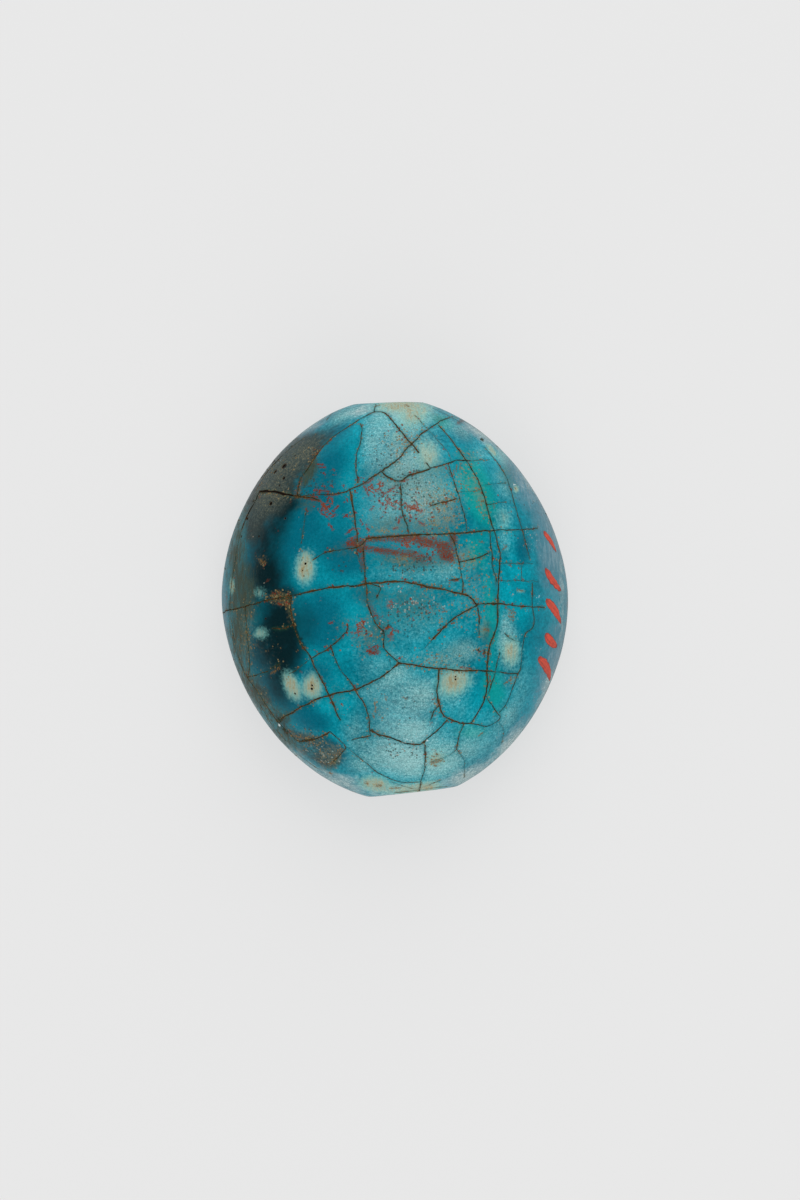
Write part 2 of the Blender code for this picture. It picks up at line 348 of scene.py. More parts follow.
# Pits where a bubble or a grain has burst the glaze: place, radius.
PITS = (
    (-8.1, 9.75, 0.38), (-8.75, 9.35, 0.28), (-8.1, 8.85, 0.20), (-9.05, 7.0, 0.22),
    (-8.9, 10.1, 0.30), (-9.75, 9.0, 0.26), (-7.6, 11.2, 0.2), (-8.4, 8.3, 0.12),
    (-7.3, 10.5, 0.12), (-8.0, 5.9, 0.12), (-9.9, 4.6, 0.12), (-10.35, 7.2, 0.18),
    (-10.8, 5.9, 0.2), (-11.2, 4.6, 0.14), (-6.5, 2.6, 0.12), (-6.7, 2.1, 0.06),
    (-6.6, 1.7, 0.06), (-9.8, -2.0, 0.06), (-9.4, -1.4, 0.10), (-7.27, -6.85, 0.11),
    (-6.03, -6.25, 0.11), (-6.05, -6.5, 0.14), (4.4, -5.8, 0.10), (4.4, -5.6, 0.08),
    (2.2, 10.5, 0.06), (8.8, 8.1, 0.09), (6.3, 11.7, 0.15), (7.8, 10.8, 0.08), (9.2, 9.3, 0.08),
    (3.0, -11.4, 0.06), (-1.2, -13.5, 0.07), (-9.0, -9.7, 0.10), (-2.1, -13.3, 0.06),
    (0.0, -14.1, 0.06),
)

# Each pit is ringed by points: ring size against the pit's radius, and points in it.
PIT_RINGS = ((0.5, 6), (1.0, 10), (1.5, 12))

# Soft patches of colour and wear, and of painted sheen, reflection and glints: x, y, half length,
# half width, turn in degrees, strength.
ZONES = {
    # Over-fired glaze, blue-black.
    "smoke": (
        (-9.4, 1.9, 3.3, 2.5, 92, 1.0), (-9.7, 4.8, 2.8, 2.0, 88, 0.8),
        (-8.3, -1.4, 3.2, 2.4, 80, 1.0), (-9.5, -3.6, 3.0, 2.2, 90, 0.75),
        (-8.2, 5.6, 3.0, 1.5, 72, 0.6), (-8.0, 0.2, 1.8, 1.1, 0, 0.7),
        (-6.7, -2.1, 3.0, 2.1, 70, 0.9), (-7.9, -4.5, 2.4, 1.9, 60, 0.8),
        (-8.2, 6.8, 2.2, 1.5, 60, 0.8), (-7.2, 7.0, 1.2, 0.8, 0, 0.6),
        (-4.9, -10.9, 2.4, 1.4, -30, 0.6), (-9.2, -0.6, 9.0, 4.0, 92, 0.35),
        (-6.6, -10.0, 2.2, 0.8, -12, 0.5), (-10.7, 0.6, 2.8, 1.2, 92, 0.6),
        (-8.0, 8.6, 2.6, 1.6, 50, 0.5), (-6.4, 9.1, 2.2, 0.8, 60, 0.55),
        (-8.5, -6.6, 2.8, 2.0, -65, 0.75), (-8.0, -4.4, 2.0, 1.8, 60, 0.5),
        (-7.8, -2.2, 2.6, 1.4, 78, 0.9)),
    # Glaze decayed to a matt grey-brown skin.
    "weathered": (
        (-8.4, 9.4, 3.8, 2.6, 50, 1.0), (-6.7, 10.8, 3.0, 1.8, 45, 1.0),
        (-5.0, 12.1, 3.2, 0.9, 33, 0.4), (-9.6, 7.2, 2.8, 2.1, 75, 1.0),
        (-8.6, 7.4, 2.2, 1.6, 55, 0.9), (-10.3, 5.2, 2.4, 1.3, 85, 0.6),
        (-9.8, -6.8, 2.6, 1.3, -60, 0.4), (-5.6, -11.6, 3.0, 1.1, -30, 0.6),
        (-6.8, -10.0, 2.4, 0.8, -12, 0.5), (-8.2, -8.9, 1.6, 0.8, -45, 0.5)),
    # Olive dirt rubbed along the steep left flank.
    "olive": (
        (-10.9, 0.6, 3.6, 1.6, 90, 0.85), (-11.4, -2.4, 6.4, 1.7, 92, 0.9),
        (-11.6, 3.4, 5.0, 1.4, 84, 0.85), (-10.6, 7.0, 3.4, 1.2, 66, 0.7),
        (-10.1, -7.0, 3.6, 1.5, -60, 0.95), (-4.6, -12.0, 1.5, 0.8, 30, 0.8),
        (-8.0, -10.2, 3.4, 1.2, -42, 0.85), (-8.2, -8.6, 1.8, 1.2, -45, 0.7),
        (6.6, -2.2, 1.5, 0.7, 80, 0.7), (3.1, 13.2, 1.4, 0.6, -30, 0.5),
        (7.3, 0.6, 3.4, 0.5, 92, 0.4), (-6.2, 9.3, 2.2, 0.9, 60, 0.95),
        (6.2, 7.0, 0.8, 0.6, 90, 0.4)),
    # Gloss worn off the high places, which look paler; these patches also hold a painted sheen, the soft
    # reflection of the lamps over the crown and both ends.
    "haze_and_sheen": (
        (0.7, 9.8, 4.8, 4.4, 80, 0.8), (1.8, 7.0, 5.2, 3.6, 0, 0.65),
        (0.9, 1.6, 5.4, 2.2, 0, 0.45), (1.8, -2.0, 5.8, 3.2, 0, 0.38),
        (0.4, -7.8, 4.4, 4.4, 90, 0.55), (1.0, -11.4, 6.8, 3.8, 0, 0.9),
        (-2.4, -3.0, 2.6, 2.2, 90, 0.45), (0.7, 13.4, 4.6, 2.4, 0, 1.0),
        (6.4, -9.8, 5.2, 3.2, -30, 0.4), (8.8, -5.6, 3.6, 2.2, 110, 0.45),
        (7.9, 4.8, 3.0, 1.4, 92, 0.5), (4.8, 12.4, 2.4, 1.4, -30, 0.6),
        (-3.6, 13.5, 3.0, 1.1, 24, 0.7), (8.0, 10.4, 1.8, 1.0, 125, 0.9),
        (-0.6, -4.9, 3.0, 2.1, -15, 1.0), (4.6, -6.6, 1.4, 2.6, 0, 0.4),
        (2.8, -4.2, 3.4, 1.6, 0, 0.3), (-1.9, 11.6, 1.8, 3.0, 0, 0.6),
        (1.8, -9.6, 2.4, 1.3, 0, 0.6), (-3.0, -9.6, 1.8, 2.4, 0, 0.6),
        (2.4, -6.8, 2.8, 2.2, 0, 0.7), (3.2, -12.2, 3.2, 1.6, 0, 0.6),
        (8.2, -8.4, 2.4, 1.4, 60, 0.6), (-2.2, -6.2, 2.4, 2.2, 0, 0.45),
        (3.4, -4.6, 2.6, 1.1, 0, 0.5), (8.2, -3.0, 2.0, 1.4, 90, 0.9),
        (4.2, -11.2, 3.8, 1.5, 15, 0.6), (1.8, -11.8, 2.2, 1.6, 0, 0.7),
        (8.0, -1.6, 1.6, 1.0, 90, 0.6), (6.4, 10.6, 1.6, 1.3, 0, 0.5),
        (-2.4, -12.0, 1.8, 1.2, 0, 0.5), (5.0, -3.7, 2.4, 1.6, 0, 0.8),
        (3.9, 2.4, 2.0, 2.8, 0, 0.5), (8.0, 8.4, 2.6, 1.4, 115, 0.6),
        (-1.0, 6.0, 2.6, 1.8, 0, 0.3)),
    # Thick glaze, saturated blue.
    "deep": (
        (-5.0, 9.6, 3.4, 2.6, 60, 1.0), (-5.6, 7.6, 2.4, 1.8, 0, 1.0),
        (-6.6, 5.6, 3.4, 2.2, 90, 1.0), (-5.6, -0.6, 3.4, 2.2, 0, 0.7),
        (-5.8, -5.4, 2.4, 1.8, 0, 0.9), (9.3, 3.7, 2.2, 1.1, 92, 1.0),
        (-7.6, -4.2, 1.9, 1.6, 45, 1.0), (8.8, 0.8, 1.4, 0.9, 90, 0.4),
        (-6.0, -8.8, 2.8, 1.6, -20, 1.0), (-4.2, 3.8, 3.4, 3.0, 10, 0.8),
        (-2.4, 0.4, 2.2, 1.6, 0, 0.5), (-3.2, 2.6, 2.6, 1.6, 0, 0.8),
        (-4.0, 6.6, 2.4, 2.0, 0, 0.6), (-1.0, 4.0, 2.8, 1.4, 0, 0.5),
        (3.5, 3.0, 1.6, 1.6, 0, 0.4), (-4.2, -11.4, 1.8, 1.2, -30, 0.7),
        (-4.2, 12.3, 2.6, 1.0, 33, 0.8), (5.0, 12.0, 1.8, 1.2, -30, 0.7),
        (-5.4, -2.2, 3.2, 2.8, 0, 1.0), (-6.6, -7.4, 3.0, 1.3, 25, 0.9),
        (-4.6, -10.8, 1.8, 1.1, -30, 0.9), (-7.7, 3.9, 2.4, 1.5, 95, 0.9)),
    # Thin glaze with a green cast.
    "green": (
        (6.0, 7.8, 5.0, 2.2, 108, 0.9), (7.0, -1.2, 6.4, 1.2, 95, 0.6),
        (7.2, -6.6, 3.0, 1.8, 100, 0.7), (3.4, 13.0, 1.8, 0.9, -30, 0.7),
        (5.8, 3.4, 2.4, 1.6, 90, 0.6), (-9.9, -1.6, 2.6, 0.9, 90, 0.8),
        (-8.0, 8.6, 1.0, 0.7, 0, 0.5), (5.6, -9.6, 2.4, 1.2, 0, 0.6)),
    # Painted reflection of the pale surroundings in the steep right flank and other rims, slate blue.
    "rim_reflection": (
        (11.5, 3.6, 7.6, 2.2, 97, 1.0), (11.6, -4.6, 6.0, 2.0, 76, 0.9),
        (9.4, 8.6, 4.4, 1.9, 118, 1.0), (6.1, 12.5, 3.0, 1.1, -32, 1.0),
        (8.6, -10.0, 3.6, 1.3, 50, 0.6), (-12.4, -1.0, 5.0, 0.5, 92, 0.7),
        (-6.6, 12.3, 4.4, 1.0, 37, 0.9), (-9.5, -6.2, 2.2, 1.0, -65, 0.5)),
    # Pale crust on the steep flanks and ends, with a painted reflection of the pale surroundings along
    # those rims.
    "crust_and_rim_reflection": (
        (-10.3, -8.3, 3.6, 0.8, -55, 0.7), (-7.0, -11.7, 3.8, 1.1, -36, 0.65),
        (-4.0, -13.3, 3.8, 1.3, -20, 0.85), (0.8, 14.1, 3.8, 1.2, 0, 1.0),
        (0.6, -14.0, 4.2, 1.0, 5, 0.95), (9.9, 9.0, 3.8, 0.9, 124, 0.9),
        (11.0, -7.0, 3.2, 0.6, 68, 0.7), (8.4, -10.6, 3.6, 1.0, 48, 1.0),
        (12.2, 0.0, 6.5, 0.35, 90, 0.6), (6.4, 12.2, 3.2, 1.0, -38, 0.9),
        (-6.2, 12.8, 3.4, 0.7, 35, 0.7), (-2.6, 13.8, 1.8, 0.8, 15, 0.8),
        (5.2, -13.0, 3.6, 1.2, 25, 1.0), (11.2, -5.9, 0.9, 0.6, 70, 0.7)),
    # A thin film of grime.
    "grime": (
        (0.6, 8.4, 5.6, 3.4, 0, 0.8), (-5.4, 8.4, 3.0, 2.4, 0, 0.35),
        (1.4, 2.8, 3.6, 1.5, 0, 1.0), (-3.4, 3.6, 2.2, 1.2, 0, 0.6),
        (-1.4, -2.6, 2.6, 2.4, 0, 0.8), (1.0, -0.4, 4.6, 2.6, 0, 0.8),
        (2.4, 5.2, 3.8, 1.6, 0, 0.9), (-0.8, 5.4, 3.0, 1.8, 0, 0.9), (3.6, 3.2, 1.8, 2.0, 0, 0.8),
        (3.4, 9.4, 1.8, 1.6, 0, 0.5), (5.0, 10.5, 1.3, 1.0, 0, 0.6),
        (-0.8, 2.9, 2.4, 1.5, 0, 0.5), (-1.9, 0.3, 1.8, 1.4, 0, 0.7),
        (4.4, -3.8, 3.0, 1.4, 0, 0.4), (-3.6, -1.8, 1.8, 1.6, 0, 0.4),
        (-4.2, -7.2, 1.4, 2.0, 0, 0.6), (-5.2, -5.0, 1.8, 1.6, 0, 0.2),
        (6.6, -2.4, 1.0, 2.0, 0, 0.6), (1.4, 12.6, 2.4, 1.4, 0, 0.3),
        (8.2, 9.0, 2.2, 1.4, 115, 0.7), (2.2, 4.1, 2.6, 0.8, 0, 0.8),
        (-6.4, 6.9, 1.4, 1.0, 0, 0.8)),
    # Iron-red dirt, in two smears that fork along a crack.
    "rust": (
        (-2.8, 4.15, 1.4, 0.5, 12, 1.0), (-1.0, 4.42, 2.2, 0.40, 5, 0.95),
        (0.7, 4.42, 1.8, 0.55, 0, 1.0), (2.1, 4.2, 1.9, 0.62, -16, 0.95),
        (3.5, 3.85, 1.6, 0.7, -20, 0.9), (3.8, 3.15, 1.1, 0.8, -20, 1.0),
        (4.25, 4.4, 0.8, 0.5, -70, 1.0), (-2.4, 3.8, 0.8, 0.6, 0, 0.8),
        (-1.1, 3.55, 1.9, 0.42, -6, 0.95), (0.5, 3.35, 2.0, 0.46, -4, 0.75),
        (1.9, 3.0, 1.6, 0.7, -15, 0.6), (-1.6, -3.75, 0.9, 0.5, 8, 0.75),
        (-7.0, 8.2, 1.4, 0.35, 70, 0.55), (-5.9, 10.3, 1.7, 0.3, 55, 0.4),
        (-2.35, 2.9, 1.6, 0.4, 95, 0.7), (-1.6, -0.8, 1.8, 0.4, -58, 0.6),
        (4.8, 13.0, 0.6, 0.3, 30, 0.7)),
    # Where thin red veins wander.
    "veins": (
        (-4.7, 6.8, 1.6, 1.3, 0, 0.9), (-5.0, 8.6, 1.6, 0.7, 0, 0.4),
        (-1.6, 8.2, 1.3, 0.9, 0, 0.9), (-0.2, 7.0, 1.6, 1.2, 0, 0.8),
        (1.6, 6.6, 1.2, 0.8, 0, 0.7), (-2.7, 4.6, 1.4, 1.2, 0, 0.9), (1.4, 4.2, 3.6, 0.9, 0, 0.9),
        (-2.6, -2.0, 1.6, 1.6, 0, 0.8), (-0.4, -2.4, 1.0, 1.4, 0, 0.6),
        (1.2, -0.2, 3.4, 1.8, 0, 0.3), (4.6, 2.6, 1.2, 1.6, 0, 0.5),
        (2.4, -8.2, 2.0, 1.6, 0, 0.3)),
    # Where red grains lie thick.
    "red_grains": (
        (-0.6, 7.4, 4.2, 2.4, 0, 0.8), (-4.8, 7.4, 2.4, 2.2, 0, 0.6),
        (1.6, 6.0, 3.4, 1.8, 0, 0.7), (-2.4, 3.8, 2.0, 1.4, 0, 1.0),
        (-2.0, -2.4, 2.2, 2.4, 0, 0.7), (2.0, 3.8, 4.0, 1.4, 0, 1.0),
        (1.0, -0.4, 4.0, 2.2, 0, 0.4), (3.4, 10.2, 3.0, 2.0, 0, 0.3),
        (-8.3, 0.0, 1.8, 0.9, 4, 0.9), (-4.6, 9.4, 1.8, 1.2, 0, 0.2),
        (-9.6, 2.8, 0.9, 0.8, 0, 0.6), (0.2, 12.0, 1.6, 1.6, 0, 0.5)),
    # Where ochre grains lie thick.
    "ochre_grains": (
        (-8.3, 0.1, 1.7, 1.0, 4, 1.0), (-9.7, 2.8, 0.9, 0.8, 0, 0.7),
        (-8.4, 7.6, 2.2, 0.6, -8, 0.5), (-4.6, -11.4, 2.0, 1.4, 30, 0.9),
        (-9.0, -5.0, 2.0, 0.8, 15, 0.4), (1.0, -4.9, 0.8, 0.35, 0, 0.7),
        (-1.2, -9.7, 1.0, 0.5, -20, 0.9), (6.2, -3.8, 1.4, 1.0, 0, 0.8),
        (-10.8, -2.6, 5.4, 1.3, 90, 0.65), (-9.2, -3.6, 2.0, 1.6, 0, 0.3),
        (-6.3, 10.7, 2.8, 1.3, 45, 0.5), (5.1, -5.1, 1.4, 0.5, 0, 0.8),
        (3.0, -11.7, 1.3, 1.0, 20, 1.0), (-8.6, 9.2, 3.0, 2.2, 45, 0.4),
        (3.4, -0.6, 5.0, 3.2, 0, 0.45), (0.4, 11.4, 3.0, 2.6, 0, 0.7),
        (3.2, 6.8, 3.6, 3.2, 0, 1.0), (8.4, -1.1, 1.1, 0.8, -30, 0.8),
        (-1.2, -8.0, 1.2, 2.4, 0, 0.6), (5.0, 9.0, 1.4, 1.8, 0, 0.6),
        (-6.4, 3.3, 1.2, 0.9, 0, 0.6), (8.4, -5.9, 1.2, 0.8, 30, 0.6),
        (-6.0, -10.3, 3.2, 1.4, -30, 0.8), (-9.4, -7.4, 2.4, 1.0, -58, 0.5),
        (7.6, 3.6, 1.6, 2.2, 0, 0.35), (-2.2, -2.6, 2.0, 3.0, 0, 0.6),
        (5.8, 1.0, 2.2, 5.0, 0, 0.6), (3.0, -4.4, 3.4, 1.4, 0, 0.8),
        (5.6, 10.4, 1.6, 1.4, 0, 0.6), (3.8, 5.7, 1.4, 0.8, 0, 1.0),
        (-11.9, 0.8, 1.4, 0.4, 90, 0.8), (-7.6, -1.0, 0.5, 1.4, 0, 0.8),
        (0.6, 3.0, 2.2, 1.2, 0, 0.9), (5.0, 3.0, 1.6, 1.8, 0, 0.9), (6.2, 7.6, 0.9, 2.8, 15, 1.0),
        (-0.6, 5.0, 2.0, 0.8, 0, 0.8)),
    # Where fine black grains lie thick.
    "dark_grains": (
        (-8.3, 0.0, 2.0, 1.0, 4, 1.0), (0.4, -10.9, 2.4, 1.4, 0, 0.9),
        (0.8, 8.0, 5.0, 4.0, 0, 0.95), (-1.2, 10.8, 2.0, 3.0, 0, 0.7),
        (1.0, -8.0, 3.4, 2.0, 0, 0.5), (1.6, 2.5, 3.2, 1.6, 0, 1.0),
        (-4.0, 2.4, 1.2, 1.0, 0, 0.8), (-8.0, 9.4, 3.6, 3.0, 45, 0.9),
        (-5.6, -10.6, 3.2, 1.6, -30, 0.8), (1.6, -1.0, 4.6, 2.6, 0, 0.8),
        (-3.6, 2.8, 1.4, 1.2, 0, 0.6), (-5.4, 8.2, 2.8, 2.2, 0, 0.8),
        (3.6, -4.0, 3.4, 1.6, 0, 0.4), (9.4, 7.0, 2.6, 1.6, 110, 0.4)),
    # Where pale grains lie thick.
    "pale_grains": (
        (1.2, -0.2, 3.6, 1.8, 0, 0.7), (2.2, 7.4, 3.6, 3.0, 0, 0.8),
        (-1.6, -1.8, 1.8, 2.6, 0, 0.7), (0.8, 10.6, 3.0, 3.0, 0, 0.5),
        (-8.2, 9.2, 3.4, 2.6, 45, 0.2), (-5.2, -11.2, 2.6, 1.4, -30, 0.8),
        (0.6, -10.6, 2.6, 1.6, 0, 0.8), (10.0, 4.0, 2.6, 1.2, 95, 0.5),
        (-8.2, 0.0, 1.6, 0.8, 0, 0.7), (9.6, 8.4, 2.2, 1.2, 125, 0.6),
        (-0.6, 0.9, 2.6, 0.8, 0, 0.4), (1.4, 1.9, 2.6, 0.8, 0, 0.5)),
    # Cream body showing through.
    "bare": (
        (-6.5, 2.3, 2.0, 1.2, 88, 1.0), (-9.8, 0.5, 0.85, 0.75, 0, 0.42),
        (-9.75, -2.45, 1.0, 0.8, 0, 0.6), (-7.5, -6.3, 1.9, 0.95, 112, 0.95),
        (-6.0, -6.35, 1.7, 1.2, 95, 1.0), (4.4, -5.9, 2.1, 1.7, 20, 0.9),
        (3.7, -6.2, 1.4, 1.8, 0, 0.35), (8.4, -3.8, 1.9, 1.3, 90, 0.8),
        (2.4, 10.5, 2.2, 1.7, 100, 0.7), (7.1, 10.9, 1.2, 0.4, -52, 0.8),
        (8.85, 8.05, 0.5, 0.34, 90, 1.0), (9.1, 0.6, 0.6, 0.22, 0, 0.5),
        (3.0, -11.5, 1.3, 1.1, 20, 0.6), (0.4, 14.2, 3.6, 1.2, 0, 0.9),
        (-11.9, 1.0, 1.0, 0.34, 90, 0.8), (2.2, -8.9, 0.8, 0.34, 60, 0.3),
        (7.9, 6.0, 1.6, 1.2, 90, 0.4), (1.4, 13.3, 2.2, 1.3, 20, 0.7),
        (0.2, 11.8, 0.9, 0.9, 0, 0.4), (-1.4, -13.5, 2.2, 1.1, -10, 0.9),
        (0.8, -13.9, 2.2, 0.9, 5, 0.7), (8.0, 4.2, 2.0, 0.7, 92, 0.15),
        (3.4, 7.9, 1.8, 1.6, 0, 0.3), (2.4, -13.7, 1.8, 0.9, 10, 0.85),
        (6.4, -2.2, 1.2, 0.7, 80, 0.4)),
    # White chips and salts, and painted glints of the lamps.
    "salts_and_glints": (
        (-8.42, -9.15, 0.26, 0.16, -60, 1.0), (-6.75, 7.1, 0.14, 0.12, 0, 1.0),
        (8.75, 8.35, 0.2, 0.12, 60, 0.9), (10.45, 0.1, 0.9, 0.45, 80, 0.45),
        (9.6, 5.2, 0.9, 0.3, 20, 0.5), (1.0, -10.2, 1.0, 0.5, 10, 0.5),
        (10.1, 4.2, 1.6, 0.9, 90, 0.4), (9.4, 8.0, 1.2, 0.5, 110, 0.4),
        (2.3, -10.25, 0.3, 0.2, 40, 0.9), (10.9, -6.2, 0.9, 0.5, 70, 0.5)),
    # Clots of dirt where cracks meet.
    "clots": (
        (-7.05, 7.5, 0.5, 0.26, 20, 1.0), (2.1, -10.35, 0.34, 0.16, 35, 1.0),
        (-1.6, -9.55, 0.4, 0.2, -50, 0.9), (-1.1, -9.9, 0.34, 0.14, -20, 0.9),
        (6.0, -0.35, 0.3, 0.16, 50, 0.9), (-9.7, 7.85, 0.5, 0.2, -10, 1.0),
        (3.15, -7.75, 0.26, 0.12, 50, 0.9), (4.2, 1.45, 0.35, 0.1, 0, 0.8),
        (-0.9, -2.4, 0.3, 0.1, 70, 0.8), (1.25, 11.25, 0.2, 0.12, 0, 0.8),
        (4.2, 4.75, 0.34, 0.16, 0, 0.8), (-8.4, -8.8, 0.6, 0.36, 30, 0.8),
        (6.4, 11.7, 0.3, 0.16, -50, 1.0), (6.5, -3.8, 0.5, 0.16, 80, 0.8),
        (6.0, -3.65, 0.4, 0.14, -30, 0.8), (-8.0, 0.1, 1.2, 0.3, 5, 0.75),
        (-8.0, -9.6, 0.9, 0.2, -50, 0.7), (-6.4, -10.25, 1.2, 0.2, 8, 0.8)),
}
# How far in from a zone's edge it reaches its full strength, as a share of its size.
ZONE_SOFTNESS = {"rust": 0.8, "salts_and_glints": 0.7, "clots": 0.8}
SOFTNESS = 1.0
# Plates between cracks that keep only a share of a zone, so that its colour stops at a crack.
PLATES = (
    (((-2.6, 13.2), (-2.4, 12.2), (-2.8, 10.1), (-2.7, 8.4), (-3.0, 8.0), (-7.1, 7.5),
      (-6.9, 8.7), (-6.3, 9.6), (-5.2, 11.2), (-3.7, 12.4)), {"haze_and_sheen": 0.1, "weathered": 0.15}),
    (((-7.1, 7.5), (-3.2, 8.0), (-2.9, 5.9), (-2.7, 3.9), (-5.9, 3.0), (-7.2, 4.6)),
     {"haze_and_sheen": 0.3, "weathered": 0.0}),
    (((5.1, 10.2), (3.9, 9.9), (4.5, 7.9), (5.1, 5.9), (5.2, 5.0), (7.2, 5.0), (6.7, 6.7),
      (6.1, 8.6)), {"haze_and_sheen": 0.1}),
    (((-2.8, -6.5), (-2.0, -8.2), (-1.8, -9.8), (-3.1, -10.2), (-3.7, -10.6), (-4.7, -9.6),
      (-4.2, -8.3), (-4.8, -6.9)), {"haze_and_sheen": 0.8}),
    (((0.3, -4.6), (-0.8, -5.5), (-2.8, -6.5), (-6.1, -4.3), (-7.5, -1.2), (-7.5, 0.2),
      (-2.1, 1.1), (-1.9, -0.5), (-1.4, -1.7), (-0.8, -2.4), (-0.8, -3.5)),
     {"haze_and_sheen": 0.5, "smoke": 0.55}),
    (((0.3, -4.6), (3.2, -5.0), (6.7, -5.2), (6.8, -3.8), (7.5, -1.5), (5.9, -0.4), (4.4, -1.3),
      (2.7, -2.9), (-0.2, -3.4)), {"haze_and_sheen": 0.8}),
    (((-8.3, -8.7), (-4.7, -6.9), (-4.2, -8.3), (-4.7, -9.6), (-7.0, -10.3), (-7.7, -9.7)),
     {"haze_and_sheen": 0.2, "smoke": 0.6}),
    (((-2.7, 4.0), (-2.0, 4.55), (0.7, 4.75), (4.2, 4.85), (7.2, 5.05), (5.1, 5.9), (4.5, 7.9),
      (3.9, 9.9), (0.4, 8.6), (-3.3, 8.0)), {"rust": 0.35}),
)
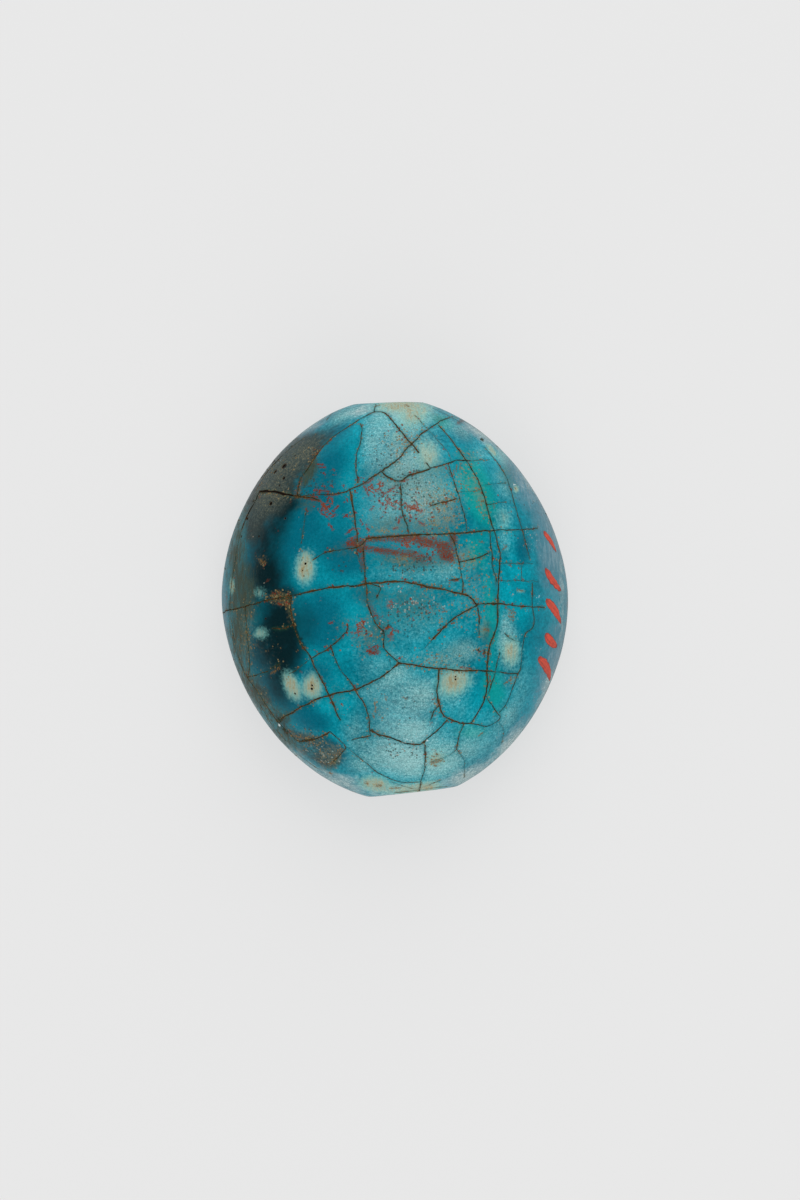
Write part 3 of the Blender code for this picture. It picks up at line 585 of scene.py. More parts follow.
# Short smears of dirt rubbed into the glaze: where each starts and ends, and its reach.
# A smear is finer than the mesh, so it brings rows of points of its own.
SMEAR_STEP = 0.09
SMEAR_ROWS = (-1, -0.5, 0, 0.5, 1)
SMEARS = {
    "red_smears": (
        (-2.2, 8.35, -1.6, 8.75, 0.17), (-2.2, 8.2, -1.9, 7.5, 0.19),
        (-1.75, 8.35, -1.6, 8.15, 0.17), (-0.85, 7.6, -0.45, 7.85, 0.17),
        (-0.4, 7.95, 0.0, 8.15, 0.24), (-0.55, 6.95, -0.4, 7.3, 0.19),
        (-0.7, 6.55, -0.55, 6.75, 0.16), (-1.75, 6.5, -1.5, 6.8, 0.16),
        (0.75, 6.9, 1.3, 6.6, 0.17), (1.3, 6.6, 1.95, 6.4, 0.24), (1.5, 7.15, 1.65, 6.85, 0.16),
        (0.25, 5.55, 0.4, 6.0, 0.20), (-0.1, 5.1, 0.2, 5.2, 0.17), (-2.0, 5.2, -1.85, 4.95, 0.20),
        (-2.5, 5.7, -2.35, 5.5, 0.17), (-3.4, 4.85, -3.0, 5.15, 0.17),
        (-3.6, 6.1, -3.45, 6.0, 0.16), (1.7, 5.65, 2.15, 5.35, 0.19), (1.1, 6.1, 1.2, 5.9, 0.16),
        (-1.2, 7.25, -1.1, 7.1, 0.16), (0.35, 8.55, 0.95, 8.7, 0.17),
        (-3.75, 8.3, -3.72, 8.25, 0.19), (-2.7, 8.9, -2.6, 8.6, 0.17),
        (-6.6, 7.4, -5.5, 7.15, 0.17), (-6.2, 7.55, -5.6, 7.4, 0.16),
        (-4.9, 7.6, -3.9, 7.65, 0.17), (-5.8, 7.95, -4.8, 7.85, 0.19),
        (-4.65, 8.3, -4.55, 8.2, 0.19), (-4.5, 9.45, -4.4, 9.4, 0.16),
        (-5.6, 9.85, -5.2, 9.8, 0.14), (-5.5, 9.6, -5.1, 9.6, 0.14),
        (-5.2, 9.2, -5.05, 9.05, 0.14), (-5.2, 6.9, -5.35, 6.3, 0.19),
        (-5.25, 6.2, -4.85, 5.95, 0.15), (-4.6, 5.95, -4.3, 6.15, 0.17),
        (-4.95, 6.6, -4.7, 6.8, 0.17), (-4.5, 6.4, -4.1, 6.8, 0.19),
        (-4.75, 5.45, -4.5, 5.1, 0.20), (-6.45, 6.6, -6.35, 6.4, 0.17),
        (-3.5, 7.3, -3.4, 7.1, 0.16), (-4.9, 7.1, -4.75, 7.5, 0.17),
        (-3.7, 6.0, -3.4, 6.15, 0.14), (-4.8, -1.7, -4.5, -1.65, 0.17),
        (-3.4, -1.9, -3.45, -2.2, 0.16), (-3.45, -2.2, -3.8, -2.75, 0.14),
        (-2.15, -1.6, -2.4, -2.05, 0.19), (-0.1, -2.2, 0.3, -2.35, 0.16),
        (0.2, -0.85, 0.25, -0.9, 0.16), (-1.7, -3.5, -1.2, -3.4, 0.22),
        (-2.0, -3.75, -1.2, -3.9, 0.26), (4.2, 1.35, 4.6, 1.35, 0.14),
        (6.0, -3.65, 6.2, -3.8, 0.17), (6.4, -3.7, 6.5, -4.1, 0.17), (4.7, -4.9, 5.6, -5.0, 0.16),
        (-3.0, 4.0, -3.4, 4.1, 0.22), (3.5, 3.1, 4.1, 3.0, 0.32), (-8.5, -0.3, -8.2, -0.4, 0.13)),
    "ochre_smears": (
        (6.1, 4.25, 6.4, 4.15, 0.14), (7.8, 3.6, 8.1, 3.9, 0.16), (8.0, -0.6, 8.7, -0.95, 0.16),
        (8.25, -1.2, 8.6, -1.3, 0.14), (8.4, -1.45, 8.6, -1.55, 0.13),
        (8.9, 0.7, 9.35, 0.6, 0.17), (8.0, -6.1, 8.7, -5.65, 0.13), (6.1, -9.9, 6.4, -9.7, 0.13),
        (3.0, -11.2, 3.1, -11.3, 0.17), (2.6, -11.9, 3.4, -11.7, 0.19),
        (2.9, -12.1, 3.0, -12.1, 0.17), (4.45, 9.3, 4.5, 9.8, 0.10), (4.7, 9.4, 4.8, 9.9, 0.10),
        (4.2, 9.0, 4.3, 9.4, 0.10), (-1.45, -7.4, -1.4, -8.1, 0.12),
        (-1.6, -8.3, -1.5, -8.6, 0.13), (-0.7, -7.1, -0.6, -7.3, 0.14),
        (0.6, -7.1, 0.9, -7.2, 0.13), (6.4, 0.9, 6.6, 0.95, 0.17), (-9.9, 2.9, -9.5, 2.7, 0.22),
        (-8.9, 0.3, -7.6, 0.0, 0.25), (-8.6, 0.6, -8.3, 0.5, 0.22),
        (-7.9, -0.4, -8.0, -0.1, 0.25), (-9.0, -5.4, -8.4, -5.0, 0.19),
        (-6.9, 8.1, -7.0, 7.5, 0.14), (-8.3, -8.7, -6.9, -7.9, 0.16),
        (-3.9, -10.9, -4.6, -11.9, 0.22), (-7.6, -9.9, -6.0, -10.2, 0.17),
        (-2.15, -13.4, -2.0, -13.45, 0.19), (-4.8, -12.7, -4.6, -12.75, 0.22),
        (-1.3, -13.6, -1.0, -13.6, 0.22), (0.8, 14.2, 1.0, 14.1, 0.15),
        (-1.5, 14.1, -1.1, 14.2, 0.12), (1.9, -13.4, 1.7, -14.1, 0.17),
        (-0.4, -13.8, 0.4, -13.75, 0.12), (6.3, -2.2, 6.8, -2.2, 0.22)),
}


def signed_power(value, power):
    """Raise a value's size to a power and keep its sign."""
    return np.sign(value) * np.abs(value) ** power


def gauge(x, y):
    """How far out a place is: 1 on the widest outline, 0 in the middle."""
    across, along = np.abs(x) / HALF_WIDTH, np.abs(y) / TIP_REACH
    return (across ** OUTLINE_POWER + along ** OUTLINE_POWER) ** (1 / OUTLINE_POWER)


def ring(level, count, start=0.0):
    """Places at one gauge, all round; x hasn't got its lean yet."""
    turn = 2 * pi * (np.arange(count) + start) / count
    power = 2 / OUTLINE_POWER
    return np.column_stack((level * HALF_WIDTH * signed_power(np.cos(turn), power),
                            level * TIP_REACH * signed_power(np.sin(turn), power)))


def on_blank(x, y):
    """The place on the blank for a place on the dome's plan."""
    straight = x - LEAN * y
    level = min(gauge(straight, y), 0.9999)
    grow = asin(level) / max(level, 1e-6)
    return Vector((straight * grow, y * grow))


def on_flank(bearing, drop):
    """The place on the blank for a bearing and a drop below the widest level."""
    return Vector(ring(pi / 2 + drop / DOME_RISE, 360, bearing)[0])


def on_plan(places):
    """The plan places of points on the blank."""
    level = np.maximum(gauge(places[:, 0], places[:, 1]), 1e-6)
    fall = np.maximum(level - pi / 2, 0) * DOME_RISE / WIDEST_LEVEL
    scale = np.sin(np.minimum(level, pi / 2)) * (1 - (1 - UNDERSIDE_SCALE) * fall ** FLANK_POWER)
    plan = places * (scale / level)[:, None]
    plan[:, 0] += LEAN * plan[:, 1]
    return plan


def flat_line(x, end):
    """Where an end flat's plane lies along Y, at a place across the seal."""
    corner, tilt = FLATS[end]
    return end * HALF_LENGTH + (x - corner) * tan(tilt)


def behind_flat(x, z, end):
    """The place on the blank that lands on a point of an end flat."""
    fall = (z - WIDEST_LEVEL) / DOME_RISE
    if fall >= 0:
        level = acos(fall)
        scale = sin(level)
    else:
        level = pi / 2 - fall
        scale = 1 - (1 - UNDERSIDE_SCALE) * (-fall * DOME_RISE / WIDEST_LEVEL) ** FLANK_POWER
    y = end * TIP_REACH * scale
    for _ in range(3):         # the lean depends on the place, so close in on it
        across = abs(x - LEAN * y) / HALF_WIDTH
        along = (scale ** OUTLINE_POWER - across ** OUTLINE_POWER) ** (1 / OUTLINE_POWER)
        y = end * TIP_REACH * along
    return Vector((x - LEAN * y, y)) * level / scale


def soft_path(places):
    """Points every STATION along a soft curve through a few places."""
    ends = [2 * places[0] - places[1], *places, 2 * places[-1] - places[-2]]
    path = []
    for before, here, there, after in zip(ends, ends[1:], ends[2:], ends[3:]):
        steps = max(1, round((there - here).length / STATION))
        for step in range(steps):
            t = step / steps
            bend = 2 * before - 5 * here + 4 * there - after
            twist = 3 * here - before - 3 * there + after
            path.append((2 * here + (there - before) * t + bend * t ** 2 + twist * t ** 3) / 2)
    return path + [places[-1]]


def sideways(path, place):
    """The direction across a path at one of its points."""
    along = path[min(place + 1, len(path) - 1)] - path[max(place - 1, 0)]
    return Vector((-along.y, along.x)).normalized()


def wander(path, seed):
    """Move a path's inner points a little to and fro, as a crack runs."""
    moved = []
    for place, point in enumerate(path):
        run = place * STATION
        room = min(1.0, min(place, len(path) - 1 - place) / WANDER_STATIONS)
        sway = sum(reach * noise.noise(Vector((run * waves, seed * spread, layer)))
                   for reach, waves, spread, layer in WANDER)
        moved.append(point + sideways(path, place) * sway * room)
    return moved


def within(places, loop):
    """Which places lie inside a loop of places."""
    x, y = places[:, 0], places[:, 1]
    inside = np.zeros(len(places), bool)
    for (x0, y0), (x1, y1) in zip(loop, np.roll(loop, -1, 0)):
        rise = y1 - y0 if y1 != y0 else 1e-12      # a level side is never crossed
        crosses = (y0 > y) != (y1 > y)
        inside ^= crosses & (x < (x1 - x0) * (y - y0) / rise + x0)
    return inside


class Blank:
    """Points and edges that the flat mesh has to keep, and the lines cut into it."""

    def __init__(self):
        self.points = []
        self.edges = []
        self.stations = []     # (place, half width, depth, dirt), set close together

    def line(self, path, half_widths, depth, dirt, closed=False):
        """Lay a line: its middle, its two edges and a shoulder row outside each."""
        rows = []
        for edge, shoulder in ((0, 0), (1, 0), (-1, 0), (1, SHOULDER), (-1, -SHOULDER)):
            row = []
            for place, point in enumerate(path):
                offset = half_widths[place] * edge + shoulder
                row.append(len(self.points))
                self.points.append(point + sideways(path, place) * offset)
            rows.append(row)
        for row in rows[:3]:
            self.edges += zip(row, row[1:])
            if closed:
                self.edges.append((row[-1], row[0]))
        pairs = zip(path, path[1:] + path[:1]) if closed else zip(path, path[1:])
        for place, (here, there) in enumerate(pairs):
            for step in range(STATION_STEPS):
                point = here.lerp(there, step / STATION_STEPS)
                self.stations.append((point, half_widths[place], depth, dirt))
        self.stations.append((path[-1], half_widths[-1], depth, dirt))

    def loop(self, path):
        """Keep a closed loop of points."""
        first = len(self.points)
        self.points += path
        numbers = list(range(first, first + len(path)))
        self.edges += zip(numbers, numbers[1:] + numbers[:1])
        return numbers

    def fill(self, places, holes=()):
        """Add loose points wherever they're clear of the lines and holes."""
        tree = kdtree.KDTree(len(self.stations))
        for place, station in enumerate(self.stations):
            tree.insert((*station[0], 0), place)
        tree.balance()
        outside = np.ones(len(places), bool)
        for hole in holes:
            outside &= ~within(places, [tuple(self.points[number]) for number in hole])
        for x, y in places[outside]:
            _, near, gap = tree.find((x, y, 0))
            if gap > self.stations[near][1] + SHOULDER + CLEARANCE:
                self.points.append(Vector((x, y)))
        self.tree = tree

    def mesh(self):
        """Triangulate. Gives places, faces and the new number of each point."""
        places, _, faces, origins, _, _ = geometry.delaunay_2d_cdt(
            self.points, self.edges, [], 0, MERGE_GAP)
        renamed = {source: number for number, sources in enumerate(origins) for source in sources}
        places = np.array([tuple(place) for place in places])
        return places, [tuple(face) for face in faces], renamed

    def cut(self, places):
        """Depth, dirt and nearness of the closest line for each place."""
        found = np.zeros((len(places), 3))
        for number, (x, y) in enumerate(places):
            _, near, gap = self.tree.find((x, y, 0))
            _, half_width, depth, dirt = self.stations[near]
            inside = max(0.0, 1 - gap / half_width)
            ink = min(1.0, max(0.0, 1 + (half_width - gap) / INK_SPREAD))
            found[number] = (depth * inside, dirt * ink, min(1.0, dirt) * exp(-gap / CRACK_REACH))
        return found


# The dome's blank: cracks, pits, hole mouths and base ring, then points to fill it.
dome = Blank()
routes = [(kind, [on_blank(*place) for place in route]) for kind, route in CRACKS]
routes += [(kind, [on_flank(*place) for place in route]) for kind, route in FLANK_CRACKS]
for number, (kind, route) in enumerate(routes):
    half_width, depth, dirt, end_share = CRACK_KINDS[kind]
    path = wander(soft_path(route), number)
    widths = []
    for place in range(len(path)):
        full = min(1.0, min(place, len(path) - 1 - place) / TAPER_STATIONS)
        uneven = 1 + WIDTH_SWAY * noise.noise(
            Vector((place * STATION * WIDTH_WAVES, number * 3.1, 8)))
        widths.append(half_width * uneven * (end_share + (1 - end_share) * full))
    dome.line(path, widths, depth, dirt)
pit_tree = kdtree.KDTree(len(PITS))
for number, (x, y, radius) in enumerate(PITS):
    middle = on_blank(x, y)
    pit_tree.insert((*middle, 0), number)
    dome.points.append(middle)
    for size, count in PIT_RINGS:
        for turn in range(count):
            angle = 2 * pi * turn / count
            dome.points.append(middle + Vector((cos(angle), sin(angle))) * radius * size)
pit_tree.balance()

for rows in SMEARS.values():
    for x0, y0, x1, y1, reach in rows:
        ends = Vector((x0, y0)), Vector((x1, y1))
        across = sideways(ends, 0) * reach
        steps = round((ends[1] - ends[0]).length / SMEAR_STEP) + 1
        for step in range(steps + 1):
            middle = ends[0].lerp(ends[1], step / steps)
            for side in SMEAR_ROWS:
                dome.points.append(on_blank(*(middle + across * side)))

LIP = 0.3                      # how far the worn mouth of the hole flares
LIP_OVAL = 0.25                # how far its flare strays from even, twice round the mouth
LIP_LUMPY = 0.15               # and three times round
HOLE_SIDES = 48


def hole_ring(end, share):
    """Places round the hole across the seal, with a share of its uneven flare."""
    for side in range(HOLE_SIDES):
        angle = 2 * pi * side / HOLE_SIDES
        uneven = 1 + LIP_OVAL * sin(2 * angle + end) + LIP_LUMPY * sin(3 * angle)
        reach = HOLE_RADIUS + LIP * share * uneven
        yield HOLE_OFFSET + reach * cos(angle), HOLE_LEVEL + reach * sin(angle)


mouths = {end: dome.loop([behind_flat(x, z, end) for x, z in hole_ring(end, 1)])
          for end in (1, -1)}
base_ring = dome.loop([Vector(place) for place in ring(BASE_ANGLE, RING_POINTS)])

fill = []
RIM_GAP = 0.6 * GRAIN          # kept free above the base ring
MEAN_RADIUS = (HALF_WIDTH + TIP_REACH) / 2
ARC = (2 * HALF_WIDTH + 2 * TIP_REACH + 2 * DOME_RISE) / 6   # mean radius of the dome
level = GRAIN / ARC
turn = 0.0
while level < BASE_ANGLE - RIM_GAP / DOME_RISE:
    count = max(6, round(2 * pi * MEAN_RADIUS * sin(min(level, pi / 2)) / GRAIN))
    turn += TWIST
    jitter = rng.uniform(-JITTER, JITTER, (count, 2)) * GRAIN
    fill.append(ring(level, count, turn) + jitter)
    level += GRAIN / ARC
dome.fill(np.concatenate(fill), mouths.values())
places, faces, renamed = dome.mesh()
base_ring = [renamed[number] for number in base_ring]
mouths = {end: [renamed[number] for number in mouth] for end, mouth in mouths.items()}

middles = places[np.array(faces)].mean(1)
in_hole = within(middles, places[mouths[1]]) | within(middles, places[mouths[-1]])
faces = [face for face, gone in zip(faces, in_hole) if not gone]
dome_count = len(places)
crack = dome.cut(places)
pit = np.zeros(dome_count)
for number, (x, y) in enumerate(places):
    _, near, gap = pit_tree.find((x, y, 0))
    pit[number] = max(0.0, 1 - (gap / PITS[near][2]) ** 2)

EDGE_WEAR = 0.6                # how far in the wear round the underside's edge reaches
FLANK_FADE = 1.4               # how far below the widest level the dome's patches die away
FADED = 0.8                    # how much of them is lost there
angles = gauge(places[:, 0], places[:, 1])
worn_edge = np.clip(1 - (BASE_ANGLE - angles) * DOME_RISE / EDGE_WEAR, 0, 1) ** 2
below = np.clip((angles - pi / 2) * DOME_RISE / FLANK_FADE, 0, 1)
plan = on_plan(places)


def zone(name, plan):
    """How strongly a zone holds at each place, from its soft patches."""
    softness = ZONE_SOFTNESS.get(name, SOFTNESS)
    clear = np.ones(len(plan))
    for x, y, length, width, turn, strength in ZONES[name]:
        east, north = (plan - (x, y)).T
        along = east * cos(radians(turn)) + north * sin(radians(turn))
        across = north * cos(radians(turn)) - east * sin(radians(turn))
        inward = np.clip((1 - np.hypot(along / length, across / width)) / softness, 0, 1)
        clear *= 1 - strength * inward ** 2 * (3 - 2 * inward)
    held_back = np.ones(len(plan))
    for loop, kept in PLATES:
        held_back[within(plan, loop)] *= kept.get(name, 1.0)
    return (1 - clear) * held_back


def smeared(name, plan):
    """How strongly a kind of smear holds at each place."""
    found = np.zeros(len(plan))
    for x0, y0, x1, y1, reach in SMEARS[name]:
        start, along = np.array((x0, y0)), np.array((x1 - x0, y1 - y0))
        share = np.clip((plan - start) @ along / (along @ along), 0, 1)
        gap = np.hypot(*(plan - start - share[:, None] * along).T)
        found = np.maximum(found, 1 - gap / reach)
    return found


# The underside: the same base ring, with a border line, two bars and rows of strokes.
CUT_DEPTH = 0.4
CUT_HALF_WIDTH = 0.25
CUT_TAPER = 3                  # over how many stations a stroke widens from its end
BLUNT_END = 1.5                # how many of those stations its end has gone already
BORDER_SCALE = 0.80            # border line against the widest outline
BORDER_POINTS = 340
STROKE_LENGTH = 2.1
STROKE_PITCH = 2.6
STROKE_LEAN = radians(18)      # alternate strokes lean left and right
ROW_PITCH = 3.6
FIRST_ROW = 0.6                # from the bar to the first row, in row pitches
ROWS_EACH_SIDE = 2             # on each side of the bare middle band
ROW_MARGIN = 1.3               # between a row's end and the border line
BAR_LEVEL = 1.8                # cross bars that edge the bare middle band

under = Blank()
under_ring = under.loop([Vector(place) for place in ring(UNDERSIDE_SCALE, RING_POINTS)])
border = [Vector(place) for place in ring(BORDER_SCALE, BORDER_POINTS)]
under.line(border, [CUT_HALF_WIDTH] * len(border), CUT_DEPTH, 1.0, closed=True)


def half_width_at(y):
    """Half the width inside the border line, at a place along the seal."""
    along = abs(y) / (BORDER_SCALE * TIP_REACH)
    across = max(0.0, 1 - along ** OUTLINE_POWER) ** (1 / OUTLINE_POWER)
    return BORDER_SCALE * HALF_WIDTH * across


def engrave(x, y, length, lean):
    """Lay a straight stroke centred on a place; lean turns it from along Y."""
    reach = Vector((sin(lean), cos(lean))) * length / 2
    middle = Vector((x - LEAN * y, y))
    path = soft_path([middle - reach, middle + reach])
    widths = []
    for place in range(len(path)):
        from_end = min(place, len(path) - 1 - place)
        widths.append(CUT_HALF_WIDTH * min(1, (from_end + BLUNT_END) / CUT_TAPER))
    under.line(path, widths, CUT_DEPTH, 1.0)


for end in (1, -1):
    engrave(0, end * BAR_LEVEL, 2 * (half_width_at(BAR_LEVEL) - ROW_MARGIN), pi / 2)
    for row in range(ROWS_EACH_SIDE):
        y = end * (BAR_LEVEL + ROW_PITCH * (row + FIRST_ROW))
        room = half_width_at(abs(y) + STROKE_LENGTH / 2) - ROW_MARGIN
        each_side = int(room / STROKE_PITCH)
        for place in range(-each_side, each_side + 1):
            lean = STROKE_LEAN if (place + row) % 2 else -STROKE_LEAN
            engrave(place * STROKE_PITCH, y, STROKE_LENGTH, lean)
fill = [np.zeros((1, 2))]
for step in range(1, int(UNDERSIDE_SCALE * HALF_WIDTH / UNDER_GRAIN)):
    level = step * UNDER_GRAIN / HALF_WIDTH
    count = max(6, round(2 * pi * level * MEAN_RADIUS / UNDER_GRAIN))
    jitter = rng.uniform(-JITTER, JITTER, (count, 2)) * UNDER_GRAIN
    fill.append(ring(level, count, step * TWIST) + jitter)
under.fill(np.concatenate(fill))
under_places, under_faces, under_names = under.mesh()
engraved = under.cut(under_places)
rest_edge = UNDERSIDE_SCALE - gauge(under_places[:, 0], under_places[:, 1])
rest_edge = np.clip(1 - rest_edge * HALF_WIDTH / EDGE_WEAR, 0, 1)

# Put the blank, the underside and the threading hole together.
shared = {under_names[number]: base_ring[place] for place, number in enumerate(under_ring)}
points = [(x, y, 0.0) for x, y in places]
under_number = {}
for number, (x, y) in enumerate(under_places):
    if number in shared:
        under_number[number] = shared[number]
    else:
        under_number[number] = len(points)
        points.append((x + LEAN * y, y, 0.0))
faces += [tuple(under_number[number] for number in reversed(face)) for face in under_faces]
tunnel_start = len(points)

# The hole's wall, from the far mouth to the near one. Each ring: the end whose flare it is
# in, its share of the flare, and its depth; with no end, depth is a share of the way through.
HOLE_STEPS = 40
LIP_STEPS = ((0.7, 0.05), (0.35, 0.16), (0.1, 0.4), (0.0, 0.7))
LIP_DEPTH = LIP_STEPS[-1][1]
rings = [(1, *lip_step) for lip_step in LIP_STEPS]
rings += [(0, 0.0, step / HOLE_STEPS) for step in range(1, HOLE_STEPS)]
rings += [(-1, *lip_step) for lip_step in reversed(LIP_STEPS)]
tunnel = [mouths[1]]
for end, share, depth in rings:
    row = []
    for x, z in hole_ring(end, share):
        if end:
            y = flat_line(x, end) - end * depth
        else:
            start, stop = flat_line(x, 1) - LIP_DEPTH, flat_line(x, -1) + LIP_DEPTH
            y = start + (stop - start) * depth
        row.append(len(points))
        points.append((x, y, z))
    tunnel.append(row)
tunnel.append(mouths[-1])
for one, two in zip(tunnel, tunnel[1:]):
    for side in range(HOLE_SIDES):
        other = (side + 1) % HOLE_SIDES
        faces.append((one[other], one[side], two[side], two[other]))

mesh = bpy.data.meshes.new("glazed_seal")
mesh.from_pydata([Vector(point) * MM for point in points], [], faces)


def store(name, on_dome, on_under=None, in_hole=0.0):
    """Write a value for each point; the underside and hole hold 0 unless given."""
    values = np.zeros(len(points), np.float32)
    values[:dome_count] = on_dome
    values[tunnel_start:] = in_hole
    if on_under is not None:
        for number, value in enumerate(on_under):
            if under_number[number] >= dome_count:
                values[under_number[number]] = value
    mesh.attributes.new(name, 'FLOAT', 'POINT').data.foreach_set("value", values)


store("on_blank", 1.0)
store("cut_depth", crack[:, 0], engraved[:, 0])
store("cut_ink", crack[:, 1], engraved[:, 1])
store("near_crack", crack[:, 2], engraved[:, 2])
store("pit", pit)
store("worn_edge", worn_edge, rest_edge ** 2)
store("underside", 0.0, np.ones(len(under_places)))
store("low_flank", below ** 0.5)
store("hole", 0.0, in_hole=1.0)
for name in ZONES:
    store(name, zone(name, plan) * (1 - FADED * below))
for name in SMEARS:
    store(name, smeared(name, plan))

# Bake map: the blank on the left, the underside upper right, the hole's wall lower right.
# All in shares of the map: each one's span and middle, and the wall's corner.
BLANK_SPAN, BLANK_MIDDLE = 0.8, (0.355, 0.41)
UNDER_SPAN, UNDER_MIDDLE = 0.28, (0.85, 0.8)
WALL_SPAN, WALL_CORNER = (0.24, 0.5), (0.73, 0.05)
bake = mesh.uv_layers.new(name="OFBake")
corner_points = np.zeros(len(mesh.loops), np.int32)
mesh.loops.foreach_get("vertex_index", corner_points)
corner_faces = np.repeat(np.arange(len(faces)), [len(face) for face in faces])
flat = np.array(points)[corner_points][:, :2]
wall_faces = np.arange(HOLE_SIDES * (len(tunnel) - 1))
wall_start = len(faces) - len(wall_faces)
on_wall = corner_faces >= wall_start
on_dome = corner_faces < wall_start - len(under_faces)
on_under = ~on_wall & ~on_dome

uv = np.zeros((len(corner_points), 2), np.float32)
uv[on_dome] = flat[on_dome] / (2 * BASE_ANGLE * TIP_REACH / BLANK_SPAN) + BLANK_MIDDLE
under_flat = flat[on_under]
# The rim's points still lie out on the dome's blank, so they are brought in here.
shared_rim = gauge(under_flat[:, 0], under_flat[:, 1]) > 1
under_flat[shared_rim] *= UNDERSIDE_SCALE / BASE_ANGLE
uv[on_under] = under_flat / (2 * TIP_REACH) * UNDER_SPAN + UNDER_MIDDLE
rows, sides = np.divmod(wall_faces, HOLE_SIDES)
around = (sides[:, None] + (1, 0, 0, 1)).ravel()
along = (rows[:, None] + (0, 0, 1, 1)).ravel()
uv[on_wall] = np.column_stack((WALL_CORNER[0] + WALL_SPAN[0] * around / HOLE_SIDES,
                               WALL_CORNER[1] + WALL_SPAN[1] * along / len(tunnel)))
bake.uv.foreach_set("vector", uv.ravel())


# Glazed faience: glassy turquoise over a cream, sandy body. The eye sees a deep, uneven
# blue-green, dark dirt in the crazing, red and ochre grains in the pores, and a gloss worn
# to a haze on the crown. A soft sheen, reflections along the steep rims and a few glints are painted into
# the colour too.
glaze, tree = new_material("turquoise alkaline glaze")
place = add(tree, 'ShaderNodeTexCoord', out=3)

# Uneven tones from 0 to 1. Each: patch size along X, Y and Z in millimetres, detail and
# roughness. The sand and dust tones are the body's own grit, which is finer than the eye can
# part from here, so they are drawn coarser than life.
TONES = {
    "cloud": ((4.0, 4.0, 4.0), 2.0, 0.5), "mottle": ((0.8, 0.8, 0.8), 4.0, 0.6),
    "sand": ((0.22, 0.22, 0.22), 3.0, 0.65), "dust": ((0.1, 0.1, 0.1), 2.0, 0.6),
    "wipe": ((1.6, 0.16, 0.6), 3.0, 0.6), "streak": ((0.16, 1.3, 0.5), 3.0, 0.6),
}
NOISE_LOW, NOISE_HIGH = 0.32, 0.68     # a noise seldom leaves this band
tones = {}
for name, (patch, detail, roughness) in TONES.items():
    finer = tuple(1 / (side * MM) for side in patch)
    spread = add(tree, 'ShaderNodeVectorMath', (place, finer), operation='MULTIPLY')
    raw = add(tree, 'ShaderNodeTexNoise', {
        "Vector": spread, "Scale": 1.0, "Detail": detail, "Roughness": roughness})
    tones[name] = add(tree, 'ShaderNodeMapRange', {
        "Value": raw, "From Min": NOISE_LOW, "From Max": NOISE_HIGH})

MEASURES = ("cut_ink", "near_crack", "pit", "underside", "low_flank", "worn_edge", "hole")
held = {}
for name in (*ZONES, *SMEARS, *MEASURES):
    held[name] = add(tree, 'ShaderNodeAttribute', out=2, attribute_name=name)
# Beside a crack the worn haze and its painted sheen give way to clear glaze.
CLEARED = 0.45
clear = add(tree, 'ShaderNodeMath', (held["near_crack"], -CLEARED, 1.0), operation='MULTIPLY_ADD')
held["haze_and_sheen"] = add(tree, 'ShaderNodeMath', (held["haze_and_sheen"], clear), operation='MULTIPLY')

